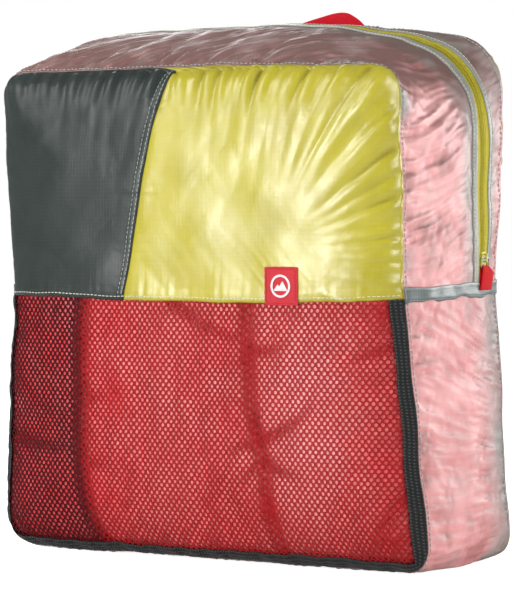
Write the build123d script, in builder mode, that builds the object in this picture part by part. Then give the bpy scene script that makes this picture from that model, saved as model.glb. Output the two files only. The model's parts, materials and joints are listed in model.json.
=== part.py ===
"""Box-shaped storage sack for a sleeping bag: two colour blocks over a mesh front, a gusset all round,
and a zipper that lets the upper back fold down as a flap. Millimetres, +Z up, front towards -Y,
origin in the middle of the base."""
from build123d import *
import math
import os

os.makedirs("parts", exist_ok=True)

# Where the main seams lie
SEAM_Y = 80  # front and rear gusset seams lie at -SEAM_Y and +SEAM_Y
MESH_TOP = 247  # the colour blocks are sewn to the mesh here
HINGE_Z = 257  # the back folds here when the zipper is open
GAP = 0.3  # half the gap between the flap and what stays behind

# Outline of the sack, seen from the front, at the front seam and at the rear seam
RIGHT_FRONT = {"top": 214, "waist": 219, "bottom": 247}
LEFT_FRONT = {"top": 237, "waist": 222, "bottom": 232}
RIGHT_REAR = {"top": 234, "waist": 224, "bottom": 241}
LEFT_REAR = {"top": 234, "waist": 222, "bottom": 238}
TOP_FRONT, TOP_REAR = 455, 495  # height of the top corners
CROWN_FRONT, CROWN_REAR = 7, 12  # the top edge rises by this much between its corners
SEAM_LIFT = 3  # the base seams stand this far above the floor
TOP_RADIUS_FRONT, TOP_RADIUS_REAR = 26, 60
BASE_RADIUS = 22

# How far the gusset and the two faces swell with the sack full
SIDE_PUFF = {"top": 0, "waist": 7, "bottom": 7}
TOP_PUFF = 14
BASE_PUFF = 10
TOP_RADIUS_PUFF, BASE_RADIUS_PUFF = 62, 20
FRONT_CROWN, REAR_CROWN = 29, 27
FACE_INSET = 112  # the crowned part of a face, from the seam inwards
FACE_ANGLES = (90, 65, 40, 20)  # sections of a face's crown, in degrees of its quarter ellipse
GUSSET_STEPS = 6  # sections of the gusset from seam to seam

# Layers, counted inwards from the outer face of the cloth
EMBLEM_OUT = -1.4
PROUD = -0.9  # trim sewn on top of the cloth
CLOTH = 1.0
LINING = 1.8  # tapes sewn under the cloth
FILLING = 5  # outside of the packed sleeping bag, clear of the flap as it turns

# Zipper
ZIP_Y = 46
SLOT_HALF = 8
TAPE_HALF = 15
COIL_HALF = 2.8
FACING_FRONT, FACING_REAR = 7, 4
ZIP_BOTTOM = HINGE_Z + 1
STOP_HEIGHT = 3

# Slider and its pull
SLIDER_Z = 283
SLIDER_LENGTH, SLIDER_WIDTH, SLIDER_CORNER = 12, 9, 2
PLATE_LOW, PLATE_HIGH = 1.4, 2.5
BRIDGE_RISE, BRIDGE_LENGTH, BRIDGE_WIDTH = 3.2, 8, 2
BRIDGE_LEG, BRIDGE_BAR = 1.5, 1  # thickness of the bridge's two legs and of its top
WIRE_RADIUS = 0.6
PIVOT_OUT = PLATE_HIGH + 1.1  # the link turns in the middle of the bridge's opening
LINK_WIDTH, LINK_HEIGHT, LINK_CORNER = 14, 8.5, 1.2
RIBBON_WIDTH, RIBBON_LENGTH, RIBBON_PLY = 12, 21, 0.9
RIBBON_PLAY = 0.1  # between the ribbon's fold and the link's wire

# Folded hem at the waist, mesh edge band, label
HEM_HEIGHT = 13
BAND_WIDTH = 11
LABEL_X, LABEL_Z, LABEL_SIZE = 107, 258, 35
EMBLEM_RADIUS = 10.5
BINDING_HALF = 4

# Seam between the two colour blocks, as an arc from the top to the mesh
BLOCK_SEAM = [(-22, 480), (-49, 352), (-70, 240)]

# Carry handle of flat webbing, standing behind the top of the back
HANDLE_Y = 97.2
HANDLE_WIDTH, HANDLE_THICKNESS = 14, 1.8
HANDLE_FOOT_Z = 484
HANDLE_LINE = [(-53, HANDLE_FOOT_Z), (47, 516), (81, HANDLE_FOOT_Z)]
TAIL_LENGTH = 12
BARTACK_WIDTH, BARTACK_HEIGHT = 12, 3

FAR = 400  # beyond every face of the sack


def between(front, rear, share):
    """Value a share of the way from the front seam to the rear seam."""
    return front + (rear - front) * share


def widths(front, rear, share, puff):
    """Half widths of one side at the top, the waist and the base."""
    return {level: between(front[level], rear[level], share) + SIDE_PUFF[level] * puff for level in front}


def outline(y, inset, gap):
    """Closed outline of the sack at one depth, inset and then gap millimetres inside the cloth."""
    share = min(max((y + SEAM_Y) / (2 * SEAM_Y), 0), 1)
    puff = 1 - (2 * share - 1) ** 2
    right = widths(RIGHT_FRONT, RIGHT_REAR, share, puff)
    left = widths(LEFT_FRONT, LEFT_REAR, share, puff)
    shrink = inset + gap
    top = between(TOP_FRONT, TOP_REAR, share) + TOP_PUFF * puff - shrink
    base = SEAM_LIFT - BASE_PUFF * puff + shrink
    top_radius = between(TOP_RADIUS_FRONT, TOP_RADIUS_REAR, share) + TOP_RADIUS_PUFF * puff
    crown = between(CROWN_FRONT, CROWN_REAR, share)
    with BuildSketch(Plane.XZ.offset(-y)) as sketch:
        with BuildLine():
            top_right = (right["top"] - shrink, top)
            top_left = (shrink - left["top"], top)
            waist_right = (right["waist"] - shrink, HINGE_Z)
            waist_left = (shrink - left["waist"], HINGE_Z)
            base_right = (right["bottom"] - shrink, base)
            base_left = (shrink - left["bottom"], base)
            Line(base_left, base_right)
            Line(base_right, waist_right)
            Line(waist_right, top_right)
            ThreePointArc(top_right, (0, top + crown), top_left)
            Line(top_left, waist_left)
            Line(waist_left, base_left)
        make_face()
        fillet(sketch.vertices().sort_by(Axis.Y)[:2], BASE_RADIUS + BASE_RADIUS_PUFF * puff)
        fillet(sketch.vertices().sort_by(Axis.Y)[-2:], top_radius)
    return sketch.sketch


def stations(gap):
    """Depths and insets from the middle of the front face to the middle of the back."""
    crown = [math.radians(angle) for angle in FACE_ANGLES]
    for angle in crown:
        yield -SEAM_Y - (FRONT_CROWN - gap) * math.sin(angle), FACE_INSET * (1 - math.cos(angle))
    for step in range(GUSSET_STEPS + 1):
        yield SEAM_Y * (2 * step / GUSSET_STEPS - 1), 0
    for angle in reversed(crown):
        yield SEAM_Y + (REAR_CROWN - gap) * math.sin(angle), FACE_INSET * (1 - math.cos(angle))


def sack_form(gap):
    """The stuffed sack as one solid, gap millimetres inside the outer face of the cloth, flat below."""
    with BuildPart() as form:
        loft([outline(y, inset, gap) for y, inset in stations(gap)], ruled=True)
        split(bisect_by=Plane.XY.offset(gap), keep=Keep.TOP)
    return form.part


def layer(outer, inner):
    """Closed skin between two forms."""
    with BuildPart() as skin:
        add(outer)
        add(inner, mode=Mode.SUBTRACT)
    return skin.part


def keep(x=(-FAR, FAR), y=(-FAR, FAR), z=(-FAR, 2 * FAR)):
    """Cut the part being built down to what lies between these limits."""
    with Locations(((x[0] + x[1]) / 2, (y[0] + y[1]) / 2, (z[0] + z[1]) / 2)):
        Box(x[1] - x[0], y[1] - y[0], z[1] - z[0], mode=Mode.INTERSECT)


def save(sub_part, name):
    """Label a finished sub-part and write it as its own STEP file."""
    sub_part.part.label = name
    export_step(sub_part.part, f"parts/{name}.step")


forms = {gap: sack_form(gap) for gap in (EMBLEM_OUT, PROUD, 0, CLOTH, LINING, FILLING)}
emblem_skin = layer(forms[EMBLEM_OUT], forms[PROUD])
trim_skin = layer(forms[PROUD], forms[0])
cloth_skin = layer(forms[0], forms[CLOTH])
tape_skin = layer(forms[CLOTH], forms[LINING])
coil_skin = layer(forms[PROUD], forms[CLOTH])

# ---- Front: two colour blocks over the mesh ----
BLOCK_TOP = (MESH_TOP, 2 * FAR)
FRONT = (-FAR, -SEAM_Y)


def block_seam_side(side):
    """Prism that covers the front on one side of the curved seam between the colour blocks."""
    start, middle, end = BLOCK_SEAM
    with BuildPart() as prism:
        with BuildSketch(Plane.XZ):
            with BuildLine():
                ThreePointArc(start, middle, end)
                Polyline(end, (side * FAR, end[1]), (side * FAR, start[1]), start)
            make_face()
        extrude(amount=FAR)
    return prism.part


with BuildPart() as front_panel_grey:
    add(cloth_skin)
    keep(y=FRONT, z=BLOCK_TOP)
    add(block_seam_side(-1), mode=Mode.INTERSECT)
save(front_panel_grey, "front_panel_grey")

with BuildPart() as front_panel_lime:
    add(cloth_skin)
    keep(y=FRONT, z=BLOCK_TOP)
    add(block_seam_side(1), mode=Mode.INTERSECT)
save(front_panel_lime, "front_panel_lime")

with BuildPart() as front_mesh_panel:
    add(cloth_skin)
    keep(y=FRONT, z=(-FAR, MESH_TOP))
save(front_mesh_panel, "front_mesh_panel")

with BuildPart() as mesh_edge_band:
    add(trim_skin)
    keep(y=(-SEAM_Y - BAND_WIDTH, -SEAM_Y), z=(0, MESH_TOP))
save(mesh_edge_band, "mesh_edge_band")

with BuildPart() as front_seam_binding:
    add(tape_skin)
    keep(y=(-SEAM_Y - BINDING_HALF, -SEAM_Y + BINDING_HALF))
save(front_seam_binding, "front_seam_binding")

# ---- Gusset: a strip each side of the zipper above the waist, one wide strip below it ----
ABOVE_HINGE = (HINGE_Z + GAP, 2 * FAR)
BELOW_HINGE = (-FAR, HINGE_Z - GAP)

with BuildPart() as gusset_front_strip:
    add(cloth_skin)
    keep(y=(-SEAM_Y, ZIP_Y - SLOT_HALF), z=ABOVE_HINGE)
save(gusset_front_strip, "gusset_front_strip")

with BuildPart() as gusset_rear_strip:
    add(cloth_skin)
    keep(y=(ZIP_Y + SLOT_HALF, SEAM_Y), z=ABOVE_HINGE)
save(gusset_rear_strip, "gusset_rear_strip")

with BuildPart() as gusset_lower:
    add(cloth_skin)
    keep(y=(-SEAM_Y, SEAM_Y), z=BELOW_HINGE)
save(gusset_lower, "gusset_lower")

for name, x_range in (("gusset_hem_right", (0, FAR)), ("gusset_hem_left", (-FAR, 0))):
    with BuildPart() as gusset_hem:
        add(trim_skin)
        keep(x=x_range, y=(-SEAM_Y, SEAM_Y), z=(HINGE_Z - HEM_HEIGHT, HINGE_Z - GAP))
    save(gusset_hem, name)

# ---- Back: the lower part stays, the upper part folds down with the flap ----
BACK = (SEAM_Y, FAR)

with BuildPart() as back_panel_lower:
    add(cloth_skin)
    keep(y=BACK, z=BELOW_HINGE)
save(back_panel_lower, "back_panel_lower")

with BuildPart() as back_panel_upper:
    add(cloth_skin)
    keep(y=BACK, z=ABOVE_HINGE)
save(back_panel_upper, "back_panel_upper")

for name, z_range in (("rear_seam_binding_lower", BELOW_HINGE), ("rear_seam_binding_upper", ABOVE_HINGE)):
    with BuildPart() as rear_seam_binding:
        add(tape_skin)
        keep(y=(SEAM_Y - BINDING_HALF, SEAM_Y + BINDING_HALF), z=z_range)
    save(rear_seam_binding, name)

# ---- Zipper: each half has a tape under the cloth, a coil in the slot and a facing over the cloth ----
ZIP_RANGE = (ZIP_BOTTOM, 2 * FAR)
COIL_RANGE = (ZIP_BOTTOM + STOP_HEIGHT, 2 * FAR)


def zipper_half(side, name, facing_width):
    """One half of the zipper: side is -1 for the front half and 1 for the rear half."""
    inner = ZIP_Y + side * GAP
    slot = ZIP_Y + side * SLOT_HALF
    with BuildPart() as tape:
        add(tape_skin)
        keep(y=sorted((inner, ZIP_Y + side * TAPE_HALF)), z=ZIP_RANGE)
    save(tape, f"zipper_tape_{name}")
    coil_y = sorted((inner, ZIP_Y + side * COIL_HALF))
    with BuildPart() as coil:
        add(coil_skin)
        keep(y=coil_y, z=COIL_RANGE)
    save(coil, f"zipper_coil_{name}")
    with BuildPart() as stops:
        add(coil_skin)
        keep(y=coil_y, z=(ZIP_BOTTOM, ZIP_BOTTOM + STOP_HEIGHT))
    save(stops, f"zipper_stops_{name}")
    with BuildPart() as facing:
        add(trim_skin)
        keep(y=sorted((slot, slot + side * facing_width)), z=ABOVE_HINGE)
    save(facing, f"zipper_facing_{name}")


zipper_half(-1, "front", FACING_FRONT)
zipper_half(1, "rear", FACING_REAR)

# ---- Slider on the straight right-hand run of the zipper ----
ZIP_SHARE = (ZIP_Y + SEAM_Y) / (2 * SEAM_Y)
ZIP_PUFF = 1 - (2 * ZIP_SHARE - 1) ** 2
zip_right = widths(RIGHT_FRONT, RIGHT_REAR, ZIP_SHARE, ZIP_PUFF)
ZIP_CORNER_Z = between(TOP_FRONT, TOP_REAR, ZIP_SHARE) + TOP_PUFF * ZIP_PUFF
LEAN = (zip_right["top"] - zip_right["waist"]) / (ZIP_CORNER_Z - HINGE_Z)  # sideways per unit of height
SLIDER_X = zip_right["waist"] + LEAN * (SLIDER_Z - HINGE_Z)
slider_plane = Plane(origin=(SLIDER_X, ZIP_Y, SLIDER_Z), x_dir=(0, 1, 0), z_dir=(1, 0, -LEAN))

with BuildPart() as zipper_slider:
    with BuildSketch(slider_plane.offset(PLATE_LOW)):
        RectangleRounded(SLIDER_WIDTH, SLIDER_LENGTH, SLIDER_CORNER)
    extrude(amount=PLATE_HIGH - PLATE_LOW)
    with BuildSketch(slider_plane.offset(PLATE_HIGH)):
        Rectangle(BRIDGE_WIDTH, BRIDGE_LENGTH)
    extrude(amount=BRIDGE_RISE)
    with BuildSketch(slider_plane.offset(PLATE_HIGH)):
        Rectangle(BRIDGE_WIDTH, BRIDGE_LENGTH - 2 * BRIDGE_LEG)
    extrude(amount=BRIDGE_RISE - BRIDGE_BAR, mode=Mode.SUBTRACT)
save(zipper_slider, "zipper_slider")

# The pull hangs plumb from the bridge, so its own planes are upright
pivot = slider_plane.origin + slider_plane.z_dir * PIVOT_OUT
pull_plane = Plane(origin=pivot, x_dir=(0, 1, 0), z_dir=(1, 0, 0))

with BuildPart() as pull_link:
    with BuildLine(pull_plane):
        FilletPolyline(
            (-LINK_WIDTH / 2, 0),
            (LINK_WIDTH / 2, 0),
            (LINK_WIDTH / 2, -LINK_HEIGHT),
            (-LINK_WIDTH / 2, -LINK_HEIGHT),
            radius=LINK_CORNER,
            close=True,
        )
    with BuildSketch(Plane(origin=pivot, x_dir=(1, 0, 0), z_dir=(0, 1, 0))):
        Circle(WIRE_RADIUS)
    sweep()
save(pull_link, "pull_link")

RIBBON_IN = WIRE_RADIUS + RIBBON_PLAY
RIBBON_OUT = RIBBON_IN + RIBBON_PLY
ribbon_plane = Plane(origin=pivot - Vector(0, RIBBON_WIDTH / 2, LINK_HEIGHT), x_dir=(1, 0, 0), z_dir=(0, 1, 0))

with BuildPart() as pull_ribbon:
    with BuildSketch(ribbon_plane):
        Circle(RIBBON_OUT)
        with Locations((0, RIBBON_LENGTH / 2)):
            Rectangle(2 * RIBBON_OUT, RIBBON_LENGTH)
        Circle(RIBBON_IN, mode=Mode.SUBTRACT)
    extrude(amount=RIBBON_WIDTH)
save(pull_ribbon, "pull_ribbon")

# ---- Label on the lime block ----
with BuildPart() as label_patch:
    add(trim_skin)
    label_half = LABEL_SIZE / 2
    keep(
        x=(LABEL_X - label_half, LABEL_X + label_half),
        y=FRONT,
        z=(LABEL_Z - label_half, LABEL_Z + label_half),
    )
save(label_patch, "label_patch")

with BuildPart() as label_emblem:
    with BuildSketch(Plane.XZ):
        with Locations((LABEL_X, LABEL_Z)):
            Circle(EMBLEM_RADIUS)
    extrude(amount=FAR)
    add(emblem_skin, mode=Mode.INTERSECT)
save(label_emblem, "label_emblem")

# ---- Carry handle: the free loop, its sewn ends and their bartacks ----
with BuildPart() as carry_handle:
    with BuildSketch(Plane.XZ.offset(-HANDLE_Y)):
        with BuildLine():
            Polyline(*HANDLE_LINE)
        trace(line_width=HANDLE_WIDTH)
    extrude(amount=-HANDLE_THICKNESS)
    keep(z=(HANDLE_FOOT_Z + GAP, 2 * FAR))
save(carry_handle, "carry_handle")

TAIL_X = [HANDLE_LINE[0][0], HANDLE_LINE[-1][0]]
TAIL_MIDDLE_Z = HANDLE_FOOT_Z - TAIL_LENGTH / 2


def on_tails(width, height):
    """Two prisms that cut a patch of this size out of a skin at each sewn end of the handle."""
    with BuildPart() as prisms:
        with BuildSketch(Plane.XZ.offset(-SEAM_Y)):
            with Locations([(tail_x, TAIL_MIDDLE_Z) for tail_x in TAIL_X]):
                Rectangle(width, height)
        extrude(amount=-FAR)
    return prisms.part


with BuildPart() as handle_sewn_ends:
    add(trim_skin)
    add(on_tails(HANDLE_WIDTH, TAIL_LENGTH), mode=Mode.INTERSECT)
save(handle_sewn_ends, "handle_sewn_ends")

with BuildPart() as handle_bartacks:
    add(emblem_skin)
    add(on_tails(BARTACK_WIDTH, BARTACK_HEIGHT), mode=Mode.INTERSECT)
save(handle_bartacks, "handle_bartacks")

# ---- What fills the sack ----
with BuildPart() as packed_sleeping_bag:
    add(forms[FILLING])
save(packed_sleeping_bag, "packed_sleeping_bag")
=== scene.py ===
"""Looks of the stuff sack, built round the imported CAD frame.

Lengths in the geometry code are millimetres, in the CAD's frame: x to the right, y to the rear, z up.
"""

import json
import math

import bpy
import numpy as np
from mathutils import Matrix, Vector


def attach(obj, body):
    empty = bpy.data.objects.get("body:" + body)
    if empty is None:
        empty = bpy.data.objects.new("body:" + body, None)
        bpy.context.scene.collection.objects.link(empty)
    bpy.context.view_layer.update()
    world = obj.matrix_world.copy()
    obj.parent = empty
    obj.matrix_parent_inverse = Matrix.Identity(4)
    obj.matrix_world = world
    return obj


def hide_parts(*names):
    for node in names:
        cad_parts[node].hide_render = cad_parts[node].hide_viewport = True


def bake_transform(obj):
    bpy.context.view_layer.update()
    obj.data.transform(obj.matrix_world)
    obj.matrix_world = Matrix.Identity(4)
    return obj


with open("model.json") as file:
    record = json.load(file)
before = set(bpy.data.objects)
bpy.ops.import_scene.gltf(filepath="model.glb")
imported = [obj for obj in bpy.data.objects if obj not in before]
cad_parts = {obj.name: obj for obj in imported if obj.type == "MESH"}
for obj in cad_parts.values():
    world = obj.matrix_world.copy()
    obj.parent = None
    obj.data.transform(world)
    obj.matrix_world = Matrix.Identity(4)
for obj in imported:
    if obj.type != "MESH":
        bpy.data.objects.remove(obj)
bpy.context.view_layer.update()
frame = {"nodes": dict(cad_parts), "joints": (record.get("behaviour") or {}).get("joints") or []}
nodes = frame["nodes"]
MM = 0.001

# ---------------------------------------------------------------- camera, first
AZIMUTH, ELEVATION, DISTANCE = math.radians(33.55), math.radians(1.18), 2.7915
TARGET = Vector((0.00793, 0, 0.247))
camera_data = bpy.data.cameras.new("camera")
camera = bpy.data.objects.new("camera", camera_data)
bpy.context.scene.collection.objects.link(camera)
back_way = Vector(
    (
        math.sin(AZIMUTH) * math.cos(ELEVATION),
        -math.cos(AZIMUTH) * math.cos(ELEVATION),
        math.sin(ELEVATION),
    )
)
camera.location = TARGET + back_way * DISTANCE
camera.rotation_mode = "QUATERNION"
camera.rotation_quaternion = (-back_way).to_track_quat("-Z", "Y")
camera_data.lens = 178.27
camera_data.sensor_width = 36
camera_data.clip_start, camera_data.clip_end = 0.05, 50
bpy.context.scene.camera = camera

# ---------------------------------------------------------------- outline of the sack, as the CAD has it
SEAM_Y = 80
MESH_TOP, HINGE_Z = 247, 257
RIGHT_FRONT = {"top": 214, "waist": 219, "bottom": 247}
LEFT_FRONT = {"top": 237, "waist": 222, "bottom": 232}
RIGHT_REAR = {"top": 234, "waist": 224, "bottom": 241}
LEFT_REAR = {"top": 234, "waist": 222, "bottom": 238}
SIDE_PUFF = {"top": 0, "waist": 7, "bottom": 7}
RIDGE_FRONT, RIDGE_REAR, RIDGE_PUFF = 462, 507, 14
RIGHT_FALL, LEFT_FALL = (7, 24, 27), (0, 10, -6)
SEAM_LIFT, BASE_PUFF = 3, 10
RIGHT_TOP_RADIUS, LEFT_TOP_RADIUS = (26, 60, 58), (22, 50, 30)
RIGHT_BASE_RADIUS, LEFT_BASE_RADIUS = (22, 22, 20), (34, 30, 20)
FRONT_CROWN, REAR_CROWN, FACE_INSET = 29, 27, 112
ZIP_Y, SLOT_FRONT_Y, SLOT_REAR_Y = 46, 38, 54

# cells of the cloth before it is refined
NX, N_LOW, N_HEM, N_UP = 108, 60, 2, 52
NZ = N_LOW + N_HEM + N_UP
DEPTH_BREAKS = [(-80, 28), (31, 2), (38, 2), (46, 2), (54, 1), (58, 6), (80, 0)]
PERIMETER = 2 * (NX + NZ)
FINE = 2  # refinement after the simulation


def between(front, rear, share):
    return front + (rear - front) * share


def unit(v):
    return v / np.maximum(np.linalg.norm(v, axis=-1, keepdims=True), 1e-9)


def fillet(before, corner, after, radius):
    """Nine points of a rounded corner, from the side of before to the side of after."""
    u, v = unit(before - corner), unit(after - corner)
    half = 0.5 * math.acos(float(u @ v))
    centre = corner + unit(u + v) * radius / math.sin(half)
    reach = radius / math.tan(half)
    a, b = corner + u * reach - centre, corner + v * reach - centre
    angle = math.acos(float(a @ b) / radius**2)
    k = np.linspace(0, 1, 9)[:, None]
    return centre + (a * np.sin((1 - k) * angle) + b * np.sin(k * angle)) / math.sin(angle)


def lengths_along(points):
    """How far along a polyline each of its points is."""
    return np.concatenate([[0], np.cumsum(np.linalg.norm(np.diff(points, axis=0), axis=1))])


def resample(points, cells):
    along = lengths_along(points)
    wanted = np.linspace(0, along[-1], cells + 1)
    return np.stack([np.interp(wanted, along, points[:, k]) for k in range(points.shape[1])], 1)


def joined(*parts):
    """Polylines end to end, without doubled points."""
    out = [parts[0]]
    for p in parts[1:]:
        out.append(p[1:] if np.linalg.norm(p[0] - out[-1][-1]) < 1e-6 else p)
    return np.concatenate(out)


def ring(y):
    """The sack's four edges at one depth as (x, z): base and top from left to right, sides upwards."""
    share = min(max((y + SEAM_Y) / (2 * SEAM_Y), 0), 1)
    puff = 1 - (2 * share - 1) ** 2
    right = {k: between(RIGHT_FRONT[k], RIGHT_REAR[k], share) + SIDE_PUFF[k] * puff for k in RIGHT_FRONT}
    left = {k: between(LEFT_FRONT[k], LEFT_REAR[k], share) + SIDE_PUFF[k] * puff for k in LEFT_FRONT}
    ridge = between(RIDGE_FRONT, RIDGE_REAR, share) + RIDGE_PUFF * puff
    base = SEAM_LIFT - BASE_PUFF * puff

    def at_share(values):
        front_value, rear_value, extra = values
        return between(front_value, rear_value, share) + extra * puff

    fall = {1: at_share(RIGHT_FALL), -1: at_share(LEFT_FALL)}
    r_top = {1: at_share(RIGHT_TOP_RADIUS), -1: at_share(LEFT_TOP_RADIUS)}
    r_base = {1: at_share(RIGHT_BASE_RADIUS), -1: at_share(LEFT_BASE_RADIUS)}
    middle, half = (right["top"] - left["top"]) / 2, (right["top"] + left["top"]) / 2

    def roof(x):
        x = np.asarray(x, float)
        drop = np.where(x > middle, fall[1], fall[-1])
        return np.stack([x, ridge - drop * ((x - middle) / half) ** 2], -1)

    def side(sign, w):
        corner_base, waist = np.array([sign * w["bottom"], base]), np.array([sign * w["waist"], HINGE_Z])
        corner_top = np.array([sign * w["top"], ridge - fall[sign]])
        low = fillet(np.array([0.0, base]), corner_base, waist, r_base[sign])
        high = fillet(waist, corner_top, roof(corner_top[0] - sign * r_top[sign]), r_top[sign])
        seam = waist + (corner_base - waist) * (HINGE_Z - MESH_TOP) / (HINGE_Z - base)
        run = [
            resample(joined(low[4:], seam[None]), N_LOW),
            resample(np.stack([seam, waist]), N_HEM),
            resample(joined(waist[None], high[:5]), N_UP),
        ]
        return joined(*run), low[:5], high[4:]

    right_side, base_right, top_right = side(1, right)
    left_side, base_left, top_left = side(-1, left)
    bottom_line = resample(joined(base_left[::-1], base_right), NX)
    span = np.linspace(top_left[-1][0], top_right[-1][0], 41)
    top_line = resample(joined(top_left, roof(span[1:-1]), top_right[::-1]), NX)
    return bottom_line, right_side, top_line, left_side


def around(edges):
    """The four edges as one closed line: base, right side, top, left side."""
    bottom_line, right_side, top_line, left_side = edges
    return np.concatenate([bottom_line[:-1], right_side[:-1], top_line[::-1][:-1], left_side[::-1][:-1]])


def face_grid(edges):
    """Flat grid over the front or back: rows upwards, columns to the right."""
    bottom_line, right_side, top_line, left_side = edges
    u = np.linspace(0, 1, NX + 1)[None, :, None]
    length = lengths_along(right_side)
    v = (length / length[-1])[:, None, None]
    flat = (1 - v) * bottom_line[None] + v * top_line[None]
    flat = flat + (1 - u) * left_side[:, None] + u * right_side[:, None]
    flat -= (1 - u) * (1 - v) * bottom_line[0] + u * (1 - v) * bottom_line[-1]
    flat -= (1 - u) * v * top_line[0] + u * v * top_line[-1]
    return flat


def edge_distance(flat, outline):
    """Distance of each grid point from a closed outline."""
    points = flat.reshape(-1, 2)
    a, b = outline, np.roll(outline, -1, axis=0)
    best = np.full(len(points), 1e9)
    for p, q in zip(a, b):
        d = q - p
        t = np.clip(((points - p) @ d) / (d @ d), 0, 1)
        best = np.minimum(best, np.linalg.norm(points - p - t[:, None] * d, axis=1))
    return best.reshape(flat.shape[:2])


def smooth_inside(field, times):
    """Averages a grid field with its neighbours, edges fixed."""
    field = field.copy()
    for _ in range(times):
        field[1:-1, 1:-1] = (
            field[1:-1, 1:-1] * 2
            + field[:-2, 1:-1] * 0.5
            + field[2:, 1:-1] * 0.5
            + field[1:-1, :-2] * 0.5
            + field[1:-1, 2:] * 0.5
        ) / 4
    return field


def crowned(flat, outline, y_seam, crown, sign):
    depth = np.clip(edge_distance(flat, outline) / FACE_INSET, 0, 1)
    rise = smooth_inside(crown * np.sqrt(np.clip(1 - (1 - depth) ** 2, 0, 1)), 8)
    return np.stack([flat[..., 0], y_seam + sign * rise, flat[..., 1]], -1)


# the seam between the two colour blocks, x at a height, and its column
BLOCK_SEAM = [(-22, 480), (-49, 352), (-70, 240)]
J_BLOCK = 42


def block_seam_x(z):
    (x0, z0), (x1, z1), (x2, z2) = BLOCK_SEAM
    return (
        x0 * (z - z1) * (z - z2) / ((z0 - z1) * (z0 - z2))
        + x1 * (z - z0) * (z - z2) / ((z1 - z0) * (z1 - z2))
        + x2 * (z - z0) * (z - z1) / ((z2 - z0) * (z2 - z1))
    )


def front_flat(edges):
    """The front's grid, moved so that one row follows the mesh's top seam and one column the block seam."""
    flat = face_grid(edges)
    rows = np.arange(NZ + 1)
    columns = np.arange(NX + 1)
    sag = 4 * (1 - np.linspace(-1, 1, NX + 1) ** 2)
    lift = MESH_TOP - sag - flat[N_LOW, :, 1]
    weight = np.where(rows <= N_LOW, rows / N_LOW, (NZ - rows) / (NZ - N_LOW))
    flat[..., 1] += weight[:, None] * lift[None]
    shift = block_seam_x(flat[:, J_BLOCK, 1]) - flat[:, J_BLOCK, 0]
    fade = np.clip((rows - (N_LOW - 14)) / 14, 0, 1)
    shift *= fade * fade * (3 - 2 * fade)
    weight = np.where(columns <= J_BLOCK, columns / J_BLOCK, (NX - columns) / (NX - J_BLOCK))
    flat[..., 0] += shift[:, None] * weight[None]
    # the top row has to stay on the seam
    flat[-1] = edges[2]
    return flat


front_edges, back_edges = ring(-SEAM_Y), ring(SEAM_Y)
front_outline, back_outline = around(front_edges), around(back_edges)
flat_front = front_flat(front_edges)
front_base = crowned(flat_front, front_outline, -SEAM_Y, FRONT_CROWN, -1)
flat_back = face_grid(back_edges)
back_base = crowned(flat_back, back_outline, SEAM_Y, REAR_CROWN, 1)
depths = [
    y + (end - y) * s / cells
    for (y, cells), (end, _) in zip(DEPTH_BREAKS, DEPTH_BREAKS[1:])
    for s in range(cells)
]
depths = np.array(depths + [SEAM_Y], float)
ND = len(depths) - 1


def gusset_ring(y):
    line = around(ring(y))
    return np.stack([line[:, 0], np.full(len(line), y), line[:, 1]], 1)


gusset_base = np.stack([gusset_ring(y) for y in depths])
P_RIGHT, P_LEFT = NX, 2 * NX + NZ


def border(grid):
    """The edge of a face grid, in the order of the gusset's perimeter."""
    return np.concatenate([grid[0, :-1], grid[:-1, -1], grid[-1, ::-1][:-1], grid[::-1, 0][:-1]])


gusset_base[0], gusset_base[-1] = border(front_base), border(back_base)

# ---------------------------------------------------------------- one skin of cloth, its seams held
n_front = (NZ + 1) * (NX + 1)
front_index = np.arange(n_front).reshape(NZ + 1, NX + 1)
back_index = front_index + n_front
inner_rings = 2 * n_front + np.arange((ND - 1) * PERIMETER).reshape(ND - 1, PERIMETER)
gusset_index = np.concatenate([border(front_index)[None], inner_rings, border(back_index)[None]])


def quads(index, flip, closed=False):
    if closed:
        index = np.concatenate([index, index[:, :1]], 1)
    a, b, c, d = index[:-1, :-1], index[:-1, 1:], index[1:, 1:], index[1:, :-1]
    order = (a, d, c, b) if flip else (a, b, c, d)
    return np.stack(order, -1).reshape(-1, 4)


skin_quads = np.concatenate(
    [quads(front_index, False), quads(back_index, True), quads(gusset_index, True, True)]
)
skin_points = np.concatenate([part.reshape(-1, 3) for part in (front_base, back_base, gusset_base[1:-1])])
n_points = len(skin_points)
edges_all = np.sort(np.concatenate([skin_quads[:, [k, (k + 1) % 4]] for k in range(4)]), axis=1)
edges_all = np.unique(edges_all, axis=0)
degree = np.bincount(edges_all.ravel(), minlength=n_points).astype(float)


def neighbours_mean(values):
    out = np.zeros_like(values)
    for k in range(values.shape[1]):
        out[:, k] = np.bincount(edges_all[:, 0], values[edges_all[:, 1], k], n_points)
        out[:, k] += np.bincount(edges_all[:, 1], values[edges_all[:, 0], k], n_points)
    return out / degree[:, None]


def smoothed(values, times):
    for _ in range(times):
        values = 0.5 * values + 0.5 * neighbours_mean(values)
    return values


def skin_normals(points):
    a, b, c, d = (points[skin_quads[:, k]] for k in range(4))
    n = np.cross(c - a, d - b)
    out = np.zeros_like(points)
    for k in range(4):
        for axis in range(3):
            out[:, axis] += np.bincount(skin_quads[:, k], n[:, axis], n_points)
    return unit(out)


def lumps(points, size, seed, octaves=3):
    """Smooth seeded noise about -1 to 1, made of waves in scattered directions."""
    pick = np.random.default_rng(seed)
    total = np.zeros(len(points))
    for octave in range(octaves):
        for _ in range(9):
            way = unit(pick.normal(size=3)) * 2 * math.pi / (size / 1.9**octave)
            way = way * pick.uniform(0.7, 1.35)
            total += np.sin(points @ way + pick.uniform(0, 2 * math.pi)) * 0.6**octave
    return total / 4.5


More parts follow.
